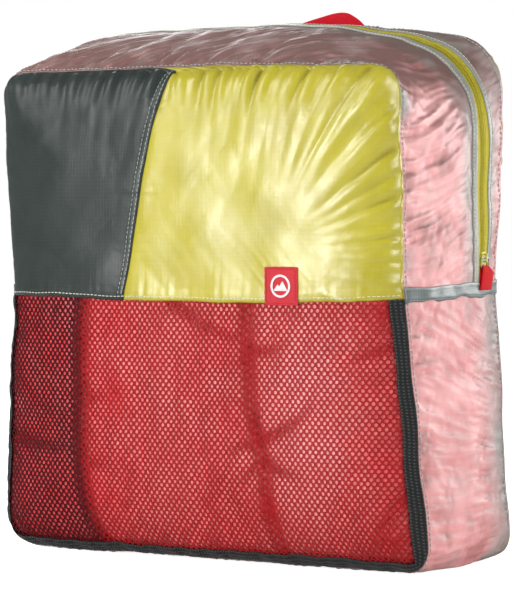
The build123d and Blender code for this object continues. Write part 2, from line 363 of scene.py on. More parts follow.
hinge_row, mesh_row = N_LOW + N_HEM, N_LOW
side_rows = np.arange(P_RIGHT + mesh_row, P_RIGHT + hinge_row + 1)
left_rows = np.arange(P_LEFT + NZ - hinge_row, P_LEFT + NZ - mesh_row + 1)
above = np.arange(P_RIGHT + hinge_row, P_LEFT + NZ - hinge_row + 1)
zip_rows = [k for k, y in enumerate(depths) if 31 <= y <= 58]
held = np.zeros(n_points, bool)
held[gusset_index[0]] = held[gusset_index[-1]] = True
waist_rows = np.concatenate([side_rows, left_rows])
held[gusset_index[np.ix_(range(ND + 1), waist_rows)].ravel()] = True
held[gusset_index[np.ix_(zip_rows, above)].ravel()] = True
held[front_index[mesh_row]] = True
held[front_index[mesh_row:, J_BLOCK]] = True

# slack seams wander a little
wander = np.stack([lumps(skin_points, 90, s, 2) for s in (1, 2, 3)], 1) * 1.1
skin_points = skin_points + wander
skin_points[:, 2] = np.maximum(skin_points[:, 2], 0.3)
held |= skin_points[:, 2] < 2.5


def cloth_run(points, stiff, growth, pressure, frames):
    """The skin as cloth that is a little too large for its seams, blown up from inside."""
    mesh = bpy.data.meshes.new("skin_cloth")
    mesh.from_pydata((points * MM).tolist(), [], skin_quads.tolist())
    obj = bpy.data.objects.new("skin_cloth", mesh)
    bpy.context.scene.collection.objects.link(obj)
    pins = obj.vertex_groups.new(name="pins")
    pins.add(np.flatnonzero(stiff).tolist(), 1.0, "REPLACE")
    cloth = obj.modifiers.new("cloth", "CLOTH")
    s = cloth.settings
    s.quality = 5
    s.mass = 0.1
    s.tension_stiffness = s.compression_stiffness = 20
    s.shear_stiffness = 8
    s.bending_stiffness = 0.02
    s.tension_damping = s.compression_damping = s.shear_damping = 5
    s.bending_damping = 0.3
    s.air_damping = 2
    s.vertex_group_mass = "pins"
    s.use_pressure = True
    s.uniform_pressure_force = pressure
    s.shrink_min = -growth
    s.effector_weights.gravity = 0
    cloth.collision_settings.use_collision = False
    cloth.collision_settings.use_self_collision = False
    cloth.point_cache.frame_start, cloth.point_cache.frame_end = 1, frames
    for f in range(1, frames + 1):
        bpy.context.scene.frame_set(f)
    shape = obj.evaluated_get(bpy.context.evaluated_depsgraph_get()).to_mesh()
    out = np.zeros(n_points * 3, np.float32)
    shape.vertices.foreach_get("co", out)
    bpy.context.scene.frame_set(1)
    bpy.data.objects.remove(obj)
    bpy.data.meshes.remove(mesh)
    return out.reshape(-1, 3).astype(float) / MM


GROWTH, PRESSURE, FRAMES = 0.06, 1.2, 24
normals = skin_normals(skin_points)
start = skin_points + normals * (lumps(skin_points, 28, 5) * 0.5)[:, None] * ~held[:, None]
moved = cloth_run(start, held, GROWTH, PRESSURE, FRAMES)

# only the wrinkles are kept, capped: the broad swelling is in the outline already
CAP_OUT, CAP_IN, CAP_SIDEWAYS = 8.0, 3.6, 3
change = moved - skin_points
wrinkle = change - smoothed(change, 60) * 0.85
wrinkle[held] = 0
along = (wrinkle * normals).sum(1)
sideways = wrinkle - along[:, None] * normals
cap = np.where(along > 0, CAP_OUT, CAP_IN)
along = cap * np.tanh(along / cap)
size = np.linalg.norm(sideways, axis=1, keepdims=True)
sideways *= np.tanh(size / CAP_SIDEWAYS) * CAP_SIDEWAYS / np.maximum(size, 1e-6)
# the front lies smooth over the filling away from its seams
calm = np.ones(n_points)
from_edge = edge_distance(flat_front, front_outline)
calm[front_index[mesh_row:]] = (0.05 + 0.12 * np.exp(-((from_edge / 38) ** 2)))[mesh_row:]
calm[front_index[:mesh_row]] = 0.42
calm[gusset_index[1:-1]] = 0.3
calm[back_index[1:-1, 1:-1]] = 0.6
along, sideways = along * calm, sideways * calm[:, None]
skin = skin_points + normals * along[:, None] + sideways

# ---------------------------------------------------------------- refine each part of the skin
def finer(grid, axis, closed=False):
    """Twice as many cells along one axis, on a smooth curve through the points."""
    g = np.moveaxis(grid, axis, 0)
    if closed:
        before, after, after2 = np.roll(g, 1, 0), np.roll(g, -1, 0), np.roll(g, -2, 0)
        middle = (-before + 9 * g + 9 * after - after2) / 16
        out = np.stack([g, middle], 1).reshape(-1, *g.shape[1:])
    else:
        wide = np.concatenate([2 * g[:1] - g[1:2], g, 2 * g[-1:] - g[-2:-1]])
        middle = (-wide[:-3] + 9 * wide[1:-2] + 9 * wide[2:-1] - wide[3:]) / 16
        out = np.empty((2 * len(g) - 1, *g.shape[1:]))
        out[::2], out[1::2] = g, middle
    return np.moveaxis(out, 0, axis)


front = finer(finer(skin[front_index], 0), 1)
back = finer(finer(skin[back_index], 0), 1)
gusset = finer(finer(skin[gusset_index], 0), 1, closed=True)
gusset[0], gusset[-1] = border(front), border(back)
fine_depths = finer(depths[:, None], 0)[:, 0]


def grid_normals(grid, closed=False):
    """Outward normals are for the caller to sign."""
    if closed:
        du = np.roll(grid, -1, 1) - np.roll(grid, 1, 1)
    else:
        du = np.gradient(grid, axis=1)
    return unit(np.cross(du, np.gradient(grid, axis=0)))


# ---------------------------------------------------------------- fine details of the cloth
ROW_MESH, ROW_HINGE, COL_BLOCK = FINE * mesh_row, FINE * hinge_row, FINE * J_BLOCK
N_COL, N_ROW, N_AROUND, N_DEEP = FINE * NX, FINE * NZ, FINE * PERIMETER, FINE * ND
HINGE_RIGHT, HINGE_LEFT = N_COL + ROW_HINGE, 2 * N_COL + 2 * N_ROW - ROW_HINGE
K_SLOT, K_SLOT_REAR = (int(np.argmin(abs(fine_depths - y))) for y in (SLOT_FRONT_Y, SLOT_REAR_Y))
flat_front_fine = finer(finer(flat_front, 0), 1)
flat_back_fine = finer(finer(flat_back, 0), 1)
around_length = lengths_along(gusset[N_DEEP // 2])
flat_gusset = np.stack(np.meshgrid(around_length, fine_depths), -1)


def pleats(s, size, seed):
    """Uneven waves along a seam, about -1 to 1."""
    pick = np.random.default_rng(seed)
    wave = sum(np.sin(2 * math.pi * s / (size * f) + pick.uniform(0, 6.3)) for f in (0.71, 1.0, 1.43))
    slow_wave = sum(np.sin(2 * math.pi * s / (size * f) + pick.uniform(0, 6.3)) for f in (4.1, 6.7))
    return wave / 2.2 * (0.75 + 0.35 * slow_wave)


def pucker(distance, s, size, height, reach, seed):
    """Cloth gathered by a seam: waves across the seam that fade away from it."""
    d = np.maximum(distance, 0)
    return height * d / (d + 3) * np.exp(-d / reach) * pleats(s, size, seed)


xs, zs = flat_front_fine[..., 0], flat_front_fine[..., 1]
to_edge = edge_distance(flat_front_fine, front_outline)
edge_run = np.where(abs(xs) > abs(zs - 232), zs, xs) + 0.35 * (xs + zs)
to_mesh_seam = (np.arange(N_ROW + 1)[:, None] - ROW_MESH) * 2.05 + 0 * xs
to_block_seam = (np.arange(N_COL + 1)[None, :] - COL_BLOCK) * 2.08 + 0 * xs
upper = to_mesh_seam >= 0


def radial_pleats(x, z, centre, distance, counts, heights, reaches, seed):
    """Pleats that run in from the seams towards the middle of a block."""
    pick = np.random.default_rng(seed)
    angle = np.arctan2(z - centre[1], x - centre[0])
    total = np.zeros_like(x)
    for count, height, reach in zip(counts, heights, reaches):
        phase = angle * count + 1.3 * np.sin(angle * 3 + pick.uniform(0, 6)) + pick.uniform(0, 6)
        strength = 0.55 + 0.45 * np.sin(angle * pick.integers(4, 9) + pick.uniform(0, 6))
        wave = 2 * np.sqrt(np.sin(phase / 2) ** 2 + 0.012) - 1.27
        d = np.maximum(distance, 0)
        total += height * strength * wave * d / (d + 3) * np.exp(-((d / reach) ** 1.3))
    from_centre = np.hypot(x - centre[0], z - centre[1])
    return total * np.clip((from_centre - 60) / 70, 0, 1)


lime_side = to_block_seam >= 0
from_side, from_top = xs[:, -1:] - xs, zs[-1:] - zs
pleat_counts, pleat_reaches = (67, 108, 160, 240), (36, 33, 22, 12)
lime_pleats = radial_pleats(
    xs, zs, (30, 60), from_top, pleat_counts, (1.4, 2.6, 3.0, 1.8), pleat_reaches, 35
)
lime_pleats += radial_pleats(
    xs, zs, (85, 285), from_side, (29, 47, 76, 111), (2.4, 2.6, 1.8, 1.0), (84, 62, 36, 18), 38
)
grey_pleats = radial_pleats(
    xs, zs, (-120, 60), from_top, pleat_counts, (1.2, 2.4, 2.4, 1.4), pleat_reaches, 36
)
block_pleats = np.where(lime_side, lime_pleats, grey_pleats)
front_relief = np.where(upper, block_pleats, pucker(to_edge, edge_run, 17, 0.7, 16, 31))
above_seam, below_seam = (
    pucker(to_mesh_seam, xs, 12, 0.7, 9, 32), pucker(-to_mesh_seam, xs, 21, 0.8, 30, 33)
)
front_relief += np.where(upper, above_seam, below_seam)
front_relief += np.where(upper, pucker(abs(to_block_seam), zs, 11, 0.8, 7, 34), 0)
LABEL_X, LABEL_Z, LABEL_SIZE = 107, 258, 35
to_label = np.maximum(abs(xs - LABEL_X), abs(zs - LABEL_Z)) - LABEL_SIZE / 2
front_relief += np.where(upper & (to_label > 0), pucker(to_label, xs + zs, 9, 0.8, 9, 37), 0)
# seam allowances lie under the blocks, and the cloth dips where the stitches pull
front_relief += np.where(upper & (to_mesh_seam < 7), 0.35, 0) + np.where(
    upper & (to_block_seam < 0) & (to_block_seam > -7), 0.4, 0
)
dip = np.where(upper, np.exp(-((to_mesh_seam / 3.5) ** 2)) + np.exp(-((to_block_seam / 3.5) ** 2)), 0)
front_relief -= 0.8 * dip
front_relief[to_edge < 0.5] = 0
front = front + grid_normals(front) * front_relief[..., None]

back_x, back_z = flat_back_fine[..., 0], flat_back_fine[..., 1]
back_to_edge = edge_distance(flat_back_fine, back_outline)
back_run = np.where(abs(back_x) > abs(back_z - 250), back_z, back_x) + 0.35 * (back_x - back_z)
back_relief = pucker(back_to_edge, back_run, 15, 1.8, 28, 41)
back = back - grid_normals(back) * back_relief[..., None]

run, depth = flat_gusset[..., 0], flat_gusset[..., 1]
gusset_relief = pucker(depth + SEAM_Y, run, 13, 1.5, 20, 51) + pucker(SEAM_Y - depth, run, 13, 1.1, 12, 52)
is_upper = np.zeros(N_AROUND, bool)
is_upper[HINGE_RIGHT : HINGE_LEFT + 1] = True
zip_way = np.where(depth < ZIP_Y, 23 - depth, depth - 62)
near_zip = np.where(is_upper[None], pucker(zip_way, run, 10, 0.9, 12, 53), 0)
gusset_relief += np.where(zip_way > 0, near_zip, 0)


def streaks(across, along_way, size, length, seed):
    """Long uneven folds, about size apart across and length long: sharp ridges, round valleys."""
    pick = np.random.default_rng(seed)
    total = np.zeros_like(across)
    for _ in range(8):
        slow_length = length * pick.uniform(0.8, 1.6)
        ripple = 0.9 * np.sin(along_way * 2 * math.pi / slow_length + pick.uniform(0, 6.3))
        turn = pick.uniform(-1, 1) * 2 * math.pi / length
        wave = across * 2 * math.pi / (size * pick.uniform(0.7, 1.6)) + along_way * turn + ripple
        total += np.sin(wave + pick.uniform(0, 6.3))
    return 0.75 - np.sqrt((total / 2) ** 2 + 0.03)


corner_run = around_length[N_COL + N_ROW]
climbing = np.clip((run - around_length[N_COL]) / 200 - 0.55, -0.45, 0.45) * 2
slope_upper = np.interp(run, (corner_run - 30, corner_run + 90), (0.42, -1.1))
slope_lower = np.where(run > corner_run, 0.3, -0.1 - climbing * 0.3)
lean = np.where(is_upper[None], slope_upper, slope_lower)
near_seam = np.exp(-(depth + SEAM_Y) / 26)
near_tape = np.exp(-np.maximum(23 - depth, 0) / 18) * (depth < ZIP_Y)
long_folds = streaks(run - lean * depth, depth, 27, 150, 61) * 1.3
short_folds = streaks(run - 0.8 * lean * depth, depth, 11, 70, 62) * 0.9
top_share = np.clip((run - corner_run) / 60, 0, 1) * is_upper[None]
long_folds *= np.where(is_upper[None], 1 - 0.4 * top_share, 0.7)
gusset_relief += long_folds * (0.55 + 0.45 * near_seam)
gusset_relief += short_folds * (0.2 + 0.9 * near_seam + 0.7 * near_tape)
fade_zip = np.where(is_upper[None], np.clip(zip_way / 12, 0, 1), 1)
fade_seam = np.clip((SEAM_Y - abs(depth)) / 5, 0, 1)
places = np.arange(N_AROUND)
rows_from_waist = np.minimum(abs(places - (HINGE_RIGHT - 3)), abs(places - (HINGE_LEFT + 3)))
fade_waist = np.clip((rows_from_waist - 3) / 5, 0, 1)[None]
gusset_relief *= fade_zip * fade_seam * fade_waist
gusset = gusset - grid_normals(gusset, True) * gusset_relief[..., None]
for grid in (front, back, gusset):
    grid[..., 2] = np.where(grid[..., 2] < 2, 0.4 + 0.8 * np.clip(grid[..., 2], 0, 2), grid[..., 2])
gusset[0], gusset[-1] = border(front), border(back)

# relief heights for the fabric looks: painted shade in the hollows, painted highlight on the ridges
shading_relief_gusset = finer(finer(along[gusset_index], 0), 1, True) + gusset_relief
shading_relief_front = finer(finer(along[front_index], 0), 1) + front_relief


# ---------------------------------------------------------------- making pieces
def link(obj):
    bpy.context.scene.collection.objects.link(obj)
    return obj


def solid(name, points, faces, slot, look, extra=None):
    """A mesh piece from points in millimetres; extra holds its point attributes."""
    mesh = bpy.data.meshes.new(name)
    face_list = faces.tolist() if isinstance(faces, np.ndarray) else faces
    mesh.from_pydata((np.asarray(points) * MM).tolist(), [], face_list)
    mesh.polygons.foreach_set("use_smooth", [True] * len(mesh.polygons))
    for key, values in (extra or {}).items():
        values = np.asarray(values, np.float32)
        if values.ndim == 2:
            mesh.attributes.new(key, "FLOAT_VECTOR", "POINT").data.foreach_set("vector", values.ravel())
        else:
            mesh.attributes.new(key, "FLOAT", "POINT").data.foreach_set("value", values)
    mesh.materials.append(look)
    mesh.update()
    obj = link(bpy.data.objects.new(name, mesh))
    return obj


def belongs(piece, body, *stood_for):
    """The piece rides on a body, and stands for these CAD nodes."""
    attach(piece, body)
    if stood_for:
        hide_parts(*stood_for)
    return piece


def cloth(name, grid, slot, look, out=1, lift=0.0, thickness=0.5, extra=None):
    """A thin closed sheet over a grid of points. out is 1 if the grid's own normals face outwards."""
    m, n = grid.shape[:2]
    normal = grid_normals(grid) * out
    lift = np.broadcast_to(np.asarray(lift, float), (m, n))[..., None]
    points = np.concatenate([(grid + normal * rise).reshape(-1, 3) for rise in (lift, lift - thickness)])
    index = np.arange(m * n).reshape(m, n)
    outer = border(index)
    inner = outer + m * n
    rim = np.stack([outer, inner, np.roll(inner, -1), np.roll(outer, -1)], 1)
    flip = out < 0
    rim = rim[:, ::-1] if flip else rim
    faces = np.concatenate([quads(index, flip), quads(index + m * n, not flip), rim])
    data = {}
    for key, values in (extra or {}).items():
        v = np.asarray(values, float).reshape(m * n, -1)
        if v.shape[1] == 2:
            v = np.concatenate([v, np.zeros((m * n, 1))], 1)
        v = v[:, 0] if v.shape[1] == 1 else v
        data[key] = np.concatenate([v, v])
    return solid(name, points, faces, slot, look, data)


def at(grid, row, column, closed=False):
    """Points of a grid at fractional rows and columns."""
    row, column = np.asarray(row, float), np.asarray(column, float)
    r = np.clip(np.floor(row).astype(int), 0, grid.shape[0] - 2)
    if closed:
        c = np.floor(column).astype(int)
        c2 = (c + 1) % grid.shape[1]
        fc = (column - c)[..., None]
        c = c % grid.shape[1]
    else:
        c = np.clip(np.floor(column).astype(int), 0, grid.shape[1] - 2)
        c2 = c + 1
        fc = (column - c)[..., None]
    fr = (row - r)[..., None]
    low = grid[r, c] * (1 - fc) + grid[r, c2] * fc
    high = grid[r + 1, c] * (1 - fc) + grid[r + 1, c2] * fc
    return low * (1 - fr) + high * fr


front_out = grid_normals(front)
back_out = -grid_normals(back)
gusset_out = -grid_normals(gusset, True)


def find(grid, x, z, left, width, height, cell_height):
    """Fractional rows and columns of a face grid at these places seen from the front."""
    x, z = np.asarray(x, float), np.asarray(z, float)
    column = (x - left) / width * N_COL
    row = z / height * N_ROW
    for _ in range(14):
        here = at(grid, row, column)
        column = np.clip(column + (x - here[..., 0]) / 2.15, 0, N_COL)
        row = np.clip(row + (z - here[..., 2]) / cell_height, 0, N_ROW)
    return row, column


def lifted(grid, out, row, column, lift, closed=False):
    """Points on a grid, lifted off it along its own outward way."""
    way = unit(at(out, row, column, closed))
    return at(grid, row, column, closed) + way * np.asarray(lift, float)[..., None]


def find_front(x, z):
    return find(front, x, z, -232, 476, 460, 2.05)


def on_front(x, z):
    return at(front, *find_front(x, z))


def on_back(x, z, lift):
    return lifted(back, back_out, *find(back, x, z, -234, 468, 506, 2.15), lift)


def on_gusset(depth_mm, column, lift=0.0):
    row = np.interp(depth_mm, fine_depths, np.arange(N_DEEP + 1))
    return lifted(gusset, gusset_out, row, column, lift, True)


def tube(path, radius, sides=6, side_way=None):
    """Points and faces of a tube along a line; side_way fixes which way is its width."""
    path = np.asarray(path, float)
    n = len(path)
    tangent = unit(np.gradient(path, axis=0))
    if side_way is None:
        side = np.cross(tangent, [0.31, 0.52, 0.8])
    else:
        side = side_way - (side_way * tangent).sum(1, keepdims=True) * tangent
    side = unit(side)
    rise = np.cross(tangent, side)
    angle = np.arange(sides) * 2 * math.pi / sides
    radius = np.broadcast_to(np.asarray(radius, float), (n,))[:, None, None]
    around_it = np.cos(angle)[None, :, None] * side[:, None] + np.sin(angle)[None, :, None] * rise[:, None]
    points = (path[:, None] + radius * around_it).reshape(-1, 3)
    faces = quads(np.arange(n * sides).reshape(n, sides), False, True).tolist()
    faces.append(list(range(sides))[::-1])
    faces.append(list(range((n - 1) * sides, n * sides)))
    return points, faces


def merged(parts):
    """Several point and face lists as one."""
    points, faces, count = [], [], 0
    for p, f in parts:
        points.append(p)
        faces += [[i + count for i in face] for face in f]
        count += len(p)
    return np.concatenate(points), faces


def stitches(line, out, length=2.7, gap=1.3, radius=0.34):
    """Thread along a line on the cloth: one bead for each stitch, its ends sunk into the cloth."""
    run_length = lengths_along(line)
    count = max(int(run_length[-1] / (length + gap)), 1)
    parts = []
    shape = np.array([-0.5, -0.42, 0, 0.42, 0.5])
    rise = np.array([-0.6, 0.1, 0.75, 0.1, -0.6]) * radius
    width = np.array([0.55, 1, 1, 1, 0.55]) * radius
    for k in range(count):
        s = (k + 0.5) * run_length[-1] / count + shape * length
        here = np.stack([np.interp(s, run_length, line[:, a]) for a in range(3)], 1)
        up = np.stack([np.interp(s, run_length, out[:, a]) for a in range(3)], 1)
        parts.append(tube(here + up * rise[:, None], width, 5, side_way=np.cross(up, here[-1] - here[0])))
    return parts


# ---------------------------------------------------------------- materials
def linear(red, green, blue):
    """A colour picked on a screen, as the shader wants it."""
    shares = (c / 255 for c in (red, green, blue))
    return (*(((c + 0.055) / 1.055) ** 2.4 if c > 0.04 else c / 12.92 for c in shares), 1.0)


def add_node(tree, kind, inputs=None, **settings):
    node = tree.nodes.new(kind)
    for key, value in settings.items():
        setattr(node, key, value)
    for key, value in (inputs or {}).items():
        if isinstance(value, bpy.types.NodeSocket):
            tree.links.new(value, node.inputs[key])
        else:
            node.inputs[key].default_value = value
    return node


def calc(tree, operation, *values):
    return add_node(tree, "ShaderNodeMath", dict(enumerate(values)), operation=operation).outputs[0]


def attribute(tree, name, socket="Fac"):
    return add_node(tree, "ShaderNodeAttribute", attribute_name=name).outputs[socket]


def soft_step(tree, value, low, high, to_low=0.0, to_high=1.0):
    inputs = {"Value": value, "From Min": low, "From Max": high, "To Min": to_low, "To Max": to_high}
    return add_node(tree, "ShaderNodeMapRange", inputs, interpolation_type="SMOOTHSTEP").outputs[0]


def blend_colours(tree, factor, a, b):
    node = add_node(tree, "ShaderNodeMix", data_type="RGBA")
    for key, value in ((0, factor), (6, a), (7, b)):
        if isinstance(value, bpy.types.NodeSocket):
            tree.links.new(value, node.inputs[key])
        else:
            node.inputs[key].default_value = value
    return node.outputs[2]


def noise(tree, vector, scale, detail=2.0, rough=0.5, warp=0.0):
    inputs = {"Vector": vector, "Scale": scale, "Detail": detail, "Roughness": rough, "Distortion": warp}
    return add_node(tree, "ShaderNodeTexNoise", inputs).outputs[0]


def new_look(name, **sockets):
    look = bpy.data.materials.new(name)
    look.use_nodes = True
    shader = look.node_tree.nodes["Principled BSDF"]
    for key, value in sockets.items():
        shader.inputs[key.replace("_", " ")].default_value = value
    return look, look.node_tree, shader


def object_mm(tree):
    """Place in the object's own millimetres."""
    place = add_node(tree, "ShaderNodeTexCoord").outputs["Object"]
    return add_node(tree, "ShaderNodeVectorMath", {0: place, "Scale": 1000.0}, operation="SCALE").outputs[0]


def line_grid(tree, u, v, pitch, width):
    """1 on the lines of a square grid over the cloth, 0 between them."""
    lines = []
    for way in (u, v):
        near = calc(tree, "PINGPONG", way, pitch / 2)
        lines.append(soft_step(tree, near, width / 2, width, 1.0, 0.0))
    return calc(tree, "MAXIMUM", *lines)


def bump(tree, shader, layers):
    """Stacks bump layers of (height socket, depth in millimetres) into the shader's normal."""
    normal = None
    for height, deep in layers:
        node = add_node(tree, "ShaderNodeBump", {"Strength": 1.0, "Distance": deep * MM, "Height": height})
        if normal is not None:
            tree.links.new(normal, node.inputs["Normal"])
        normal = node.outputs[0]
    tree.links.new(normal, shader.inputs["Normal"])


def cloth_uv(tree):
    """The two coordinates of the piece laid out flat, in millimetres."""
    split = add_node(tree, "ShaderNodeSeparateXYZ", {0: attribute(tree, "flat", "Vector")})
    return split.outputs[0], split.outputs[1]


THREAD = 0.45


def fabric(name, colour, dark, highlight_and_grid, pitch, crinkle, **sockets):
    """Woven nylon: a ripstop grid, fine weave and crinkles, with painted shade in the hollows of the relief and a
    painted highlight on its ridges.
    """
    look, tree, shader = new_look(name, **sockets)
    place = object_mm(tree)
    u, v = cloth_uv(tree)
    rip = line_grid(tree, u, v, pitch, 0.5)
    warp, weft = (calc(tree, "SINE", calc(tree, "MULTIPLY", way, 2 * math.pi / THREAD)) for way in (u, v))
    weave = calc(tree, "MULTIPLY", warp, weft)
    height = attribute(tree, "shading_relief")
    # painted shade: the dark colour where the cloth's relief sinks
    tint = blend_colours(tree, soft_step(tree, height, -0.5, -4.0), colour, dark)
    # painted highlight: the light colour where the relief rises
    tint = blend_colours(tree, soft_step(tree, height, 0.5, 5.0, 0.0, 0.6), tint, highlight_and_grid)
    patches = noise(tree, place, 0.021, 3.0)
    tint = blend_colours(tree, soft_step(tree, patches, 0.35, 0.75, 0.0, 0.28), tint, dark)
    tint = blend_colours(tree, calc(tree, "MULTIPLY", rip, 0.14), tint, highlight_and_grid)
    speck = noise(tree, place, 1.7, 1.0)
    tint = blend_colours(tree, soft_step(tree, speck, 0.3, 0.75, 0.0, 0.10), tint, dark)
    tree.links.new(tint, shader.inputs["Base Color"])
    base_rough = shader.inputs["Roughness"].default_value
    rough = soft_step(tree, noise(tree, place, 0.06, 2.0), 0.3, 0.7, base_rough - 0.03, base_rough + 0.05)
    tree.links.new(rough, shader.inputs["Roughness"])
    wrinkles = noise(tree, place, 0.085, 4.0, 0.55, 0.6)
    small = noise(tree, place, 0.33, 3.0, 0.55, 0.3)
    bump(tree, shader, [(wrinkles, crinkle * 0.4), (small, crinkle * 0.08), (rip, 0.02), (weave, 0.003)])
    return look, tree, shader, tint


grey_look = fabric(
    "ripstop_grey_look", linear(46, 54, 51), linear(26, 32, 30), linear(76, 84, 80), 3.6, 0.35,
    Roughness=0.34, Specular_IOR_Level=0.32,
)[0]
lime_look = fabric(
    "ripstop_lime_look", linear(188, 177, 42), linear(132, 118, 8), linear(200, 190, 66), 4.2, 0.08,
    Roughness=0.32, Specular_IOR_Level=0.85,
)[0]
lime_back_look = fabric(
    "lime_back_look", linear(186, 176, 42), linear(140, 130, 14), linear(206, 198, 84), 4.2, 0.5,
    Roughness=0.38, Specular_IOR_Level=1.0,
)[0]
hem_look = fabric(
    "hem_silver_look", linear(92, 104, 102), linear(60, 70, 69), linear(170, 180, 176), 3.6, 0.5,
    Roughness=0.34, Specular_IOR_Level=0.9,
)[0]

facing_look = fabric(
    "facing_silver_look", linear(150, 152, 144), linear(112, 112, 104), linear(206, 208, 200), 3.6, 0.7,
    Roughness=0.35, Specular_IOR_Level=0.7,
)[0]


def silver_over_red():
    """Thin silver ripstop: pale pink where it lies on the red filling, grey where it stands off."""
    look, tree, shader, tint = fabric(
        "ripstop_silver_look",
        linear(156, 158, 154), linear(126, 124, 121), linear(216, 220, 216), 3.4, 0.5,
        Roughness=0.43, Specular_IOR_Level=0.7,
    )
    # deeper pink: painted shade in the folds, and the pink's random tone
    pink = blend_colours(tree, attribute(tree, "pink_fold_shade_and_tone"), linear(192, 74, 78), linear(252, 184, 183))
    tint = blend_colours(tree, attribute(tree, "pink"), tint, pink)
    # painted shade: mauve-grey over the top of the gusset and towards the rear of its lower part
    tint = blend_colours(tree, attribute(tree, "mauve_shade"), tint, linear(114, 80, 72))
    tree.links.new(tint, shader.inputs["Base Color"])
    return look


gusset_look = silver_over_red()


def filling_look():
    """The sleeping bag's red shell: soft nylon with fine creases, a painted sheen and painted shade in its valleys.
    """
    look, tree, shader = new_look(
        "sleeping_bag_look", Roughness=0.4, Specular_IOR_Level=0.5,
        Sheen_Weight=0.15, Sheen_Roughness=0.35, Sheen_Tint=linear(255, 150, 150),
    )
    place = object_mm(tree)
    deep = attribute(tree, "valley")
    # painted sheen: pale pink where the filling shines
    tint = blend_colours(tree, attribute(tree, "pale"), linear(240, 40, 50), linear(255, 190, 186))
    patches = soft_step(tree, noise(tree, place, 0.06, 3.0), 0.4, 0.8, 0.0, 0.3)
    tint = blend_colours(tree, patches, tint, linear(200, 20, 34))
    # painted shade: dark red in the valleys between the baffles, in the creases and on the shaded left baffle
    tint = blend_colours(tree, soft_step(tree, deep, 0.15, 1.0, 0.0, 0.85), tint, linear(120, 6, 16))
    tree.links.new(tint, shader.inputs["Base Color"])
    creases = noise(tree, place, 0.11, 4.0, 0.6, 0.8)
    weave = noise(tree, place, 1.9, 1.0)
    bump(tree, shader, [(creases, 1.6), (weave, 0.05)])
    return look


def mesh_thread_look():
    """Black knitted mesh thread, reddened by the filling that shines through it."""
    look, tree, shader = new_look("mesh_look", Roughness=0.65, Specular_IOR_Level=0.15)
    place = object_mm(tree)
    glow = soft_step(tree, noise(tree, place, 0.02, 2.0), 0.3, 0.7)
    tint = blend_colours(tree, glow, linear(150, 8, 14), linear(168, 16, 22))
    # painted sheen: paler red where the filling below shines
    tint = blend_colours(tree, attribute(tree, "pale"), tint, linear(190, 56, 58))
    tint = blend_colours(tree, attribute(tree, "shade"), tint, linear(56, 4, 12))
    tree.links.new(tint, shader.inputs["Base Color"])
    bump(tree, shader, [(noise(tree, place, 1.4, 2.0), 0.12)])
    return look


def doubled_mesh_look():
    """Folded double mesh edging: near black, its small holes painted as darker lozenges of shade."""
    look, tree, shader = new_look(
        "mesh_edge_look", Roughness=0.65, Specular_IOR_Level=0.3, Sheen_Weight=0.1
    )
    place = object_mm(tree)
    u, v = cloth_uv(tree)
    slanted = calc(tree, "MULTIPLY", v, 0.7)
    one, two = (
        calc(tree, "SINE", calc(tree, "MULTIPLY", calc(tree, operation, u, slanted), 1.05))
        for operation in ("ADD", "SUBTRACT")
    )
    pattern = calc(tree, "MULTIPLY", one, two)
    fuzz = noise(tree, place, 0.9, 3.0)
    # painted shade: near black where the knit pattern is low, as its holes
    tint = blend_colours(tree, soft_step(tree, pattern, 0.3, 0.95), linear(14, 16, 17), linear(74, 78, 76))
    tint = blend_colours(tree, soft_step(tree, fuzz, 0.45, 0.75, 0.0, 0.4), tint, linear(34, 38, 38))
    tree.links.new(tint, shader.inputs["Base Color"])
    bump(tree, shader, [(pattern, 0.35), (fuzz, 0.3)])
    return look


def webbing(name, colour, dark, pitch=1.4, **sockets):
    """Woven tape with ribs along it and fine cross threads."""
    look, tree, shader = new_look(name, **sockets)
    place = object_mm(tree)
    u, v = cloth_uv(tree)
    rib = calc(tree, "SINE", calc(tree, "MULTIPLY", u, 2 * math.pi / pitch))
    along_it = calc(tree, "MULTIPLY", v, 2 * math.pi / (pitch * 0.7))
    cross = calc(tree, "SINE", calc(tree, "ADD", along_it, rib))
    height = calc(tree, "ADD", rib, calc(tree, "MULTIPLY", cross, 0.6))
    # painted shade: the darker colour between the ribs
    tint = blend_colours(tree, soft_step(tree, height, -0.9, 0.9, 0.75, 0.0), colour, dark)
    worn = soft_step(tree, noise(tree, place, 0.12, 3.0), 0.4, 0.8, 0.0, 0.35)
    tint = blend_colours(tree, worn, tint, dark)
    tree.links.new(tint, shader.inputs["Base Color"])
    bump(tree, shader, [(height, 0.14), (noise(tree, place, 1.2, 2.0), 0.12)])
    return look


WEBBING = (
    # name, colour, darker colour (painted shade between the ribs, and wear), pitch of the ribs, roughness, specular
    # level
    ("zipper_tape_look", (216, 205, 66), (170, 158, 26), 1.7, 0.55, 0.3),
    ("handle_look", (240, 18, 48), (180, 6, 28), 1.3, 0.55, 0.25),
    ("ribbon_look", (250, 20, 30), (206, 8, 18), 0.8, 0.5, 0.25),
    ("label_look", (250, 78, 88), (228, 58, 70), 0.6, 0.55, 0.25),
    ("binding_look", (120, 130, 128), (84, 92, 92), 1.1, 0.6, 0.5),
)
tape_look, handle_look, ribbon_look, label_look, binding_look = (
    webbing(name, linear(*colour), linear(*dark), pitch, Roughness=rough, Specular_IOR_Level=gloss)
    for name, colour, dark, pitch, rough, gloss in WEBBING
)


def plain(name, colour, dark, scale, deep, **sockets):
    """Moulded or spun stuff: slight mottling, slight unevenness."""
    look, tree, shader = new_look(name, **sockets)
    place = object_mm(tree)
    mottle = noise(tree, place, scale, 3.0)
    tint = blend_colours(tree, soft_step(tree, mottle, 0.3, 0.75), colour, dark)
    tree.links.new(tint, shader.inputs["Base Color"])
    bump(tree, shader, [(mottle, deep)])
    return look


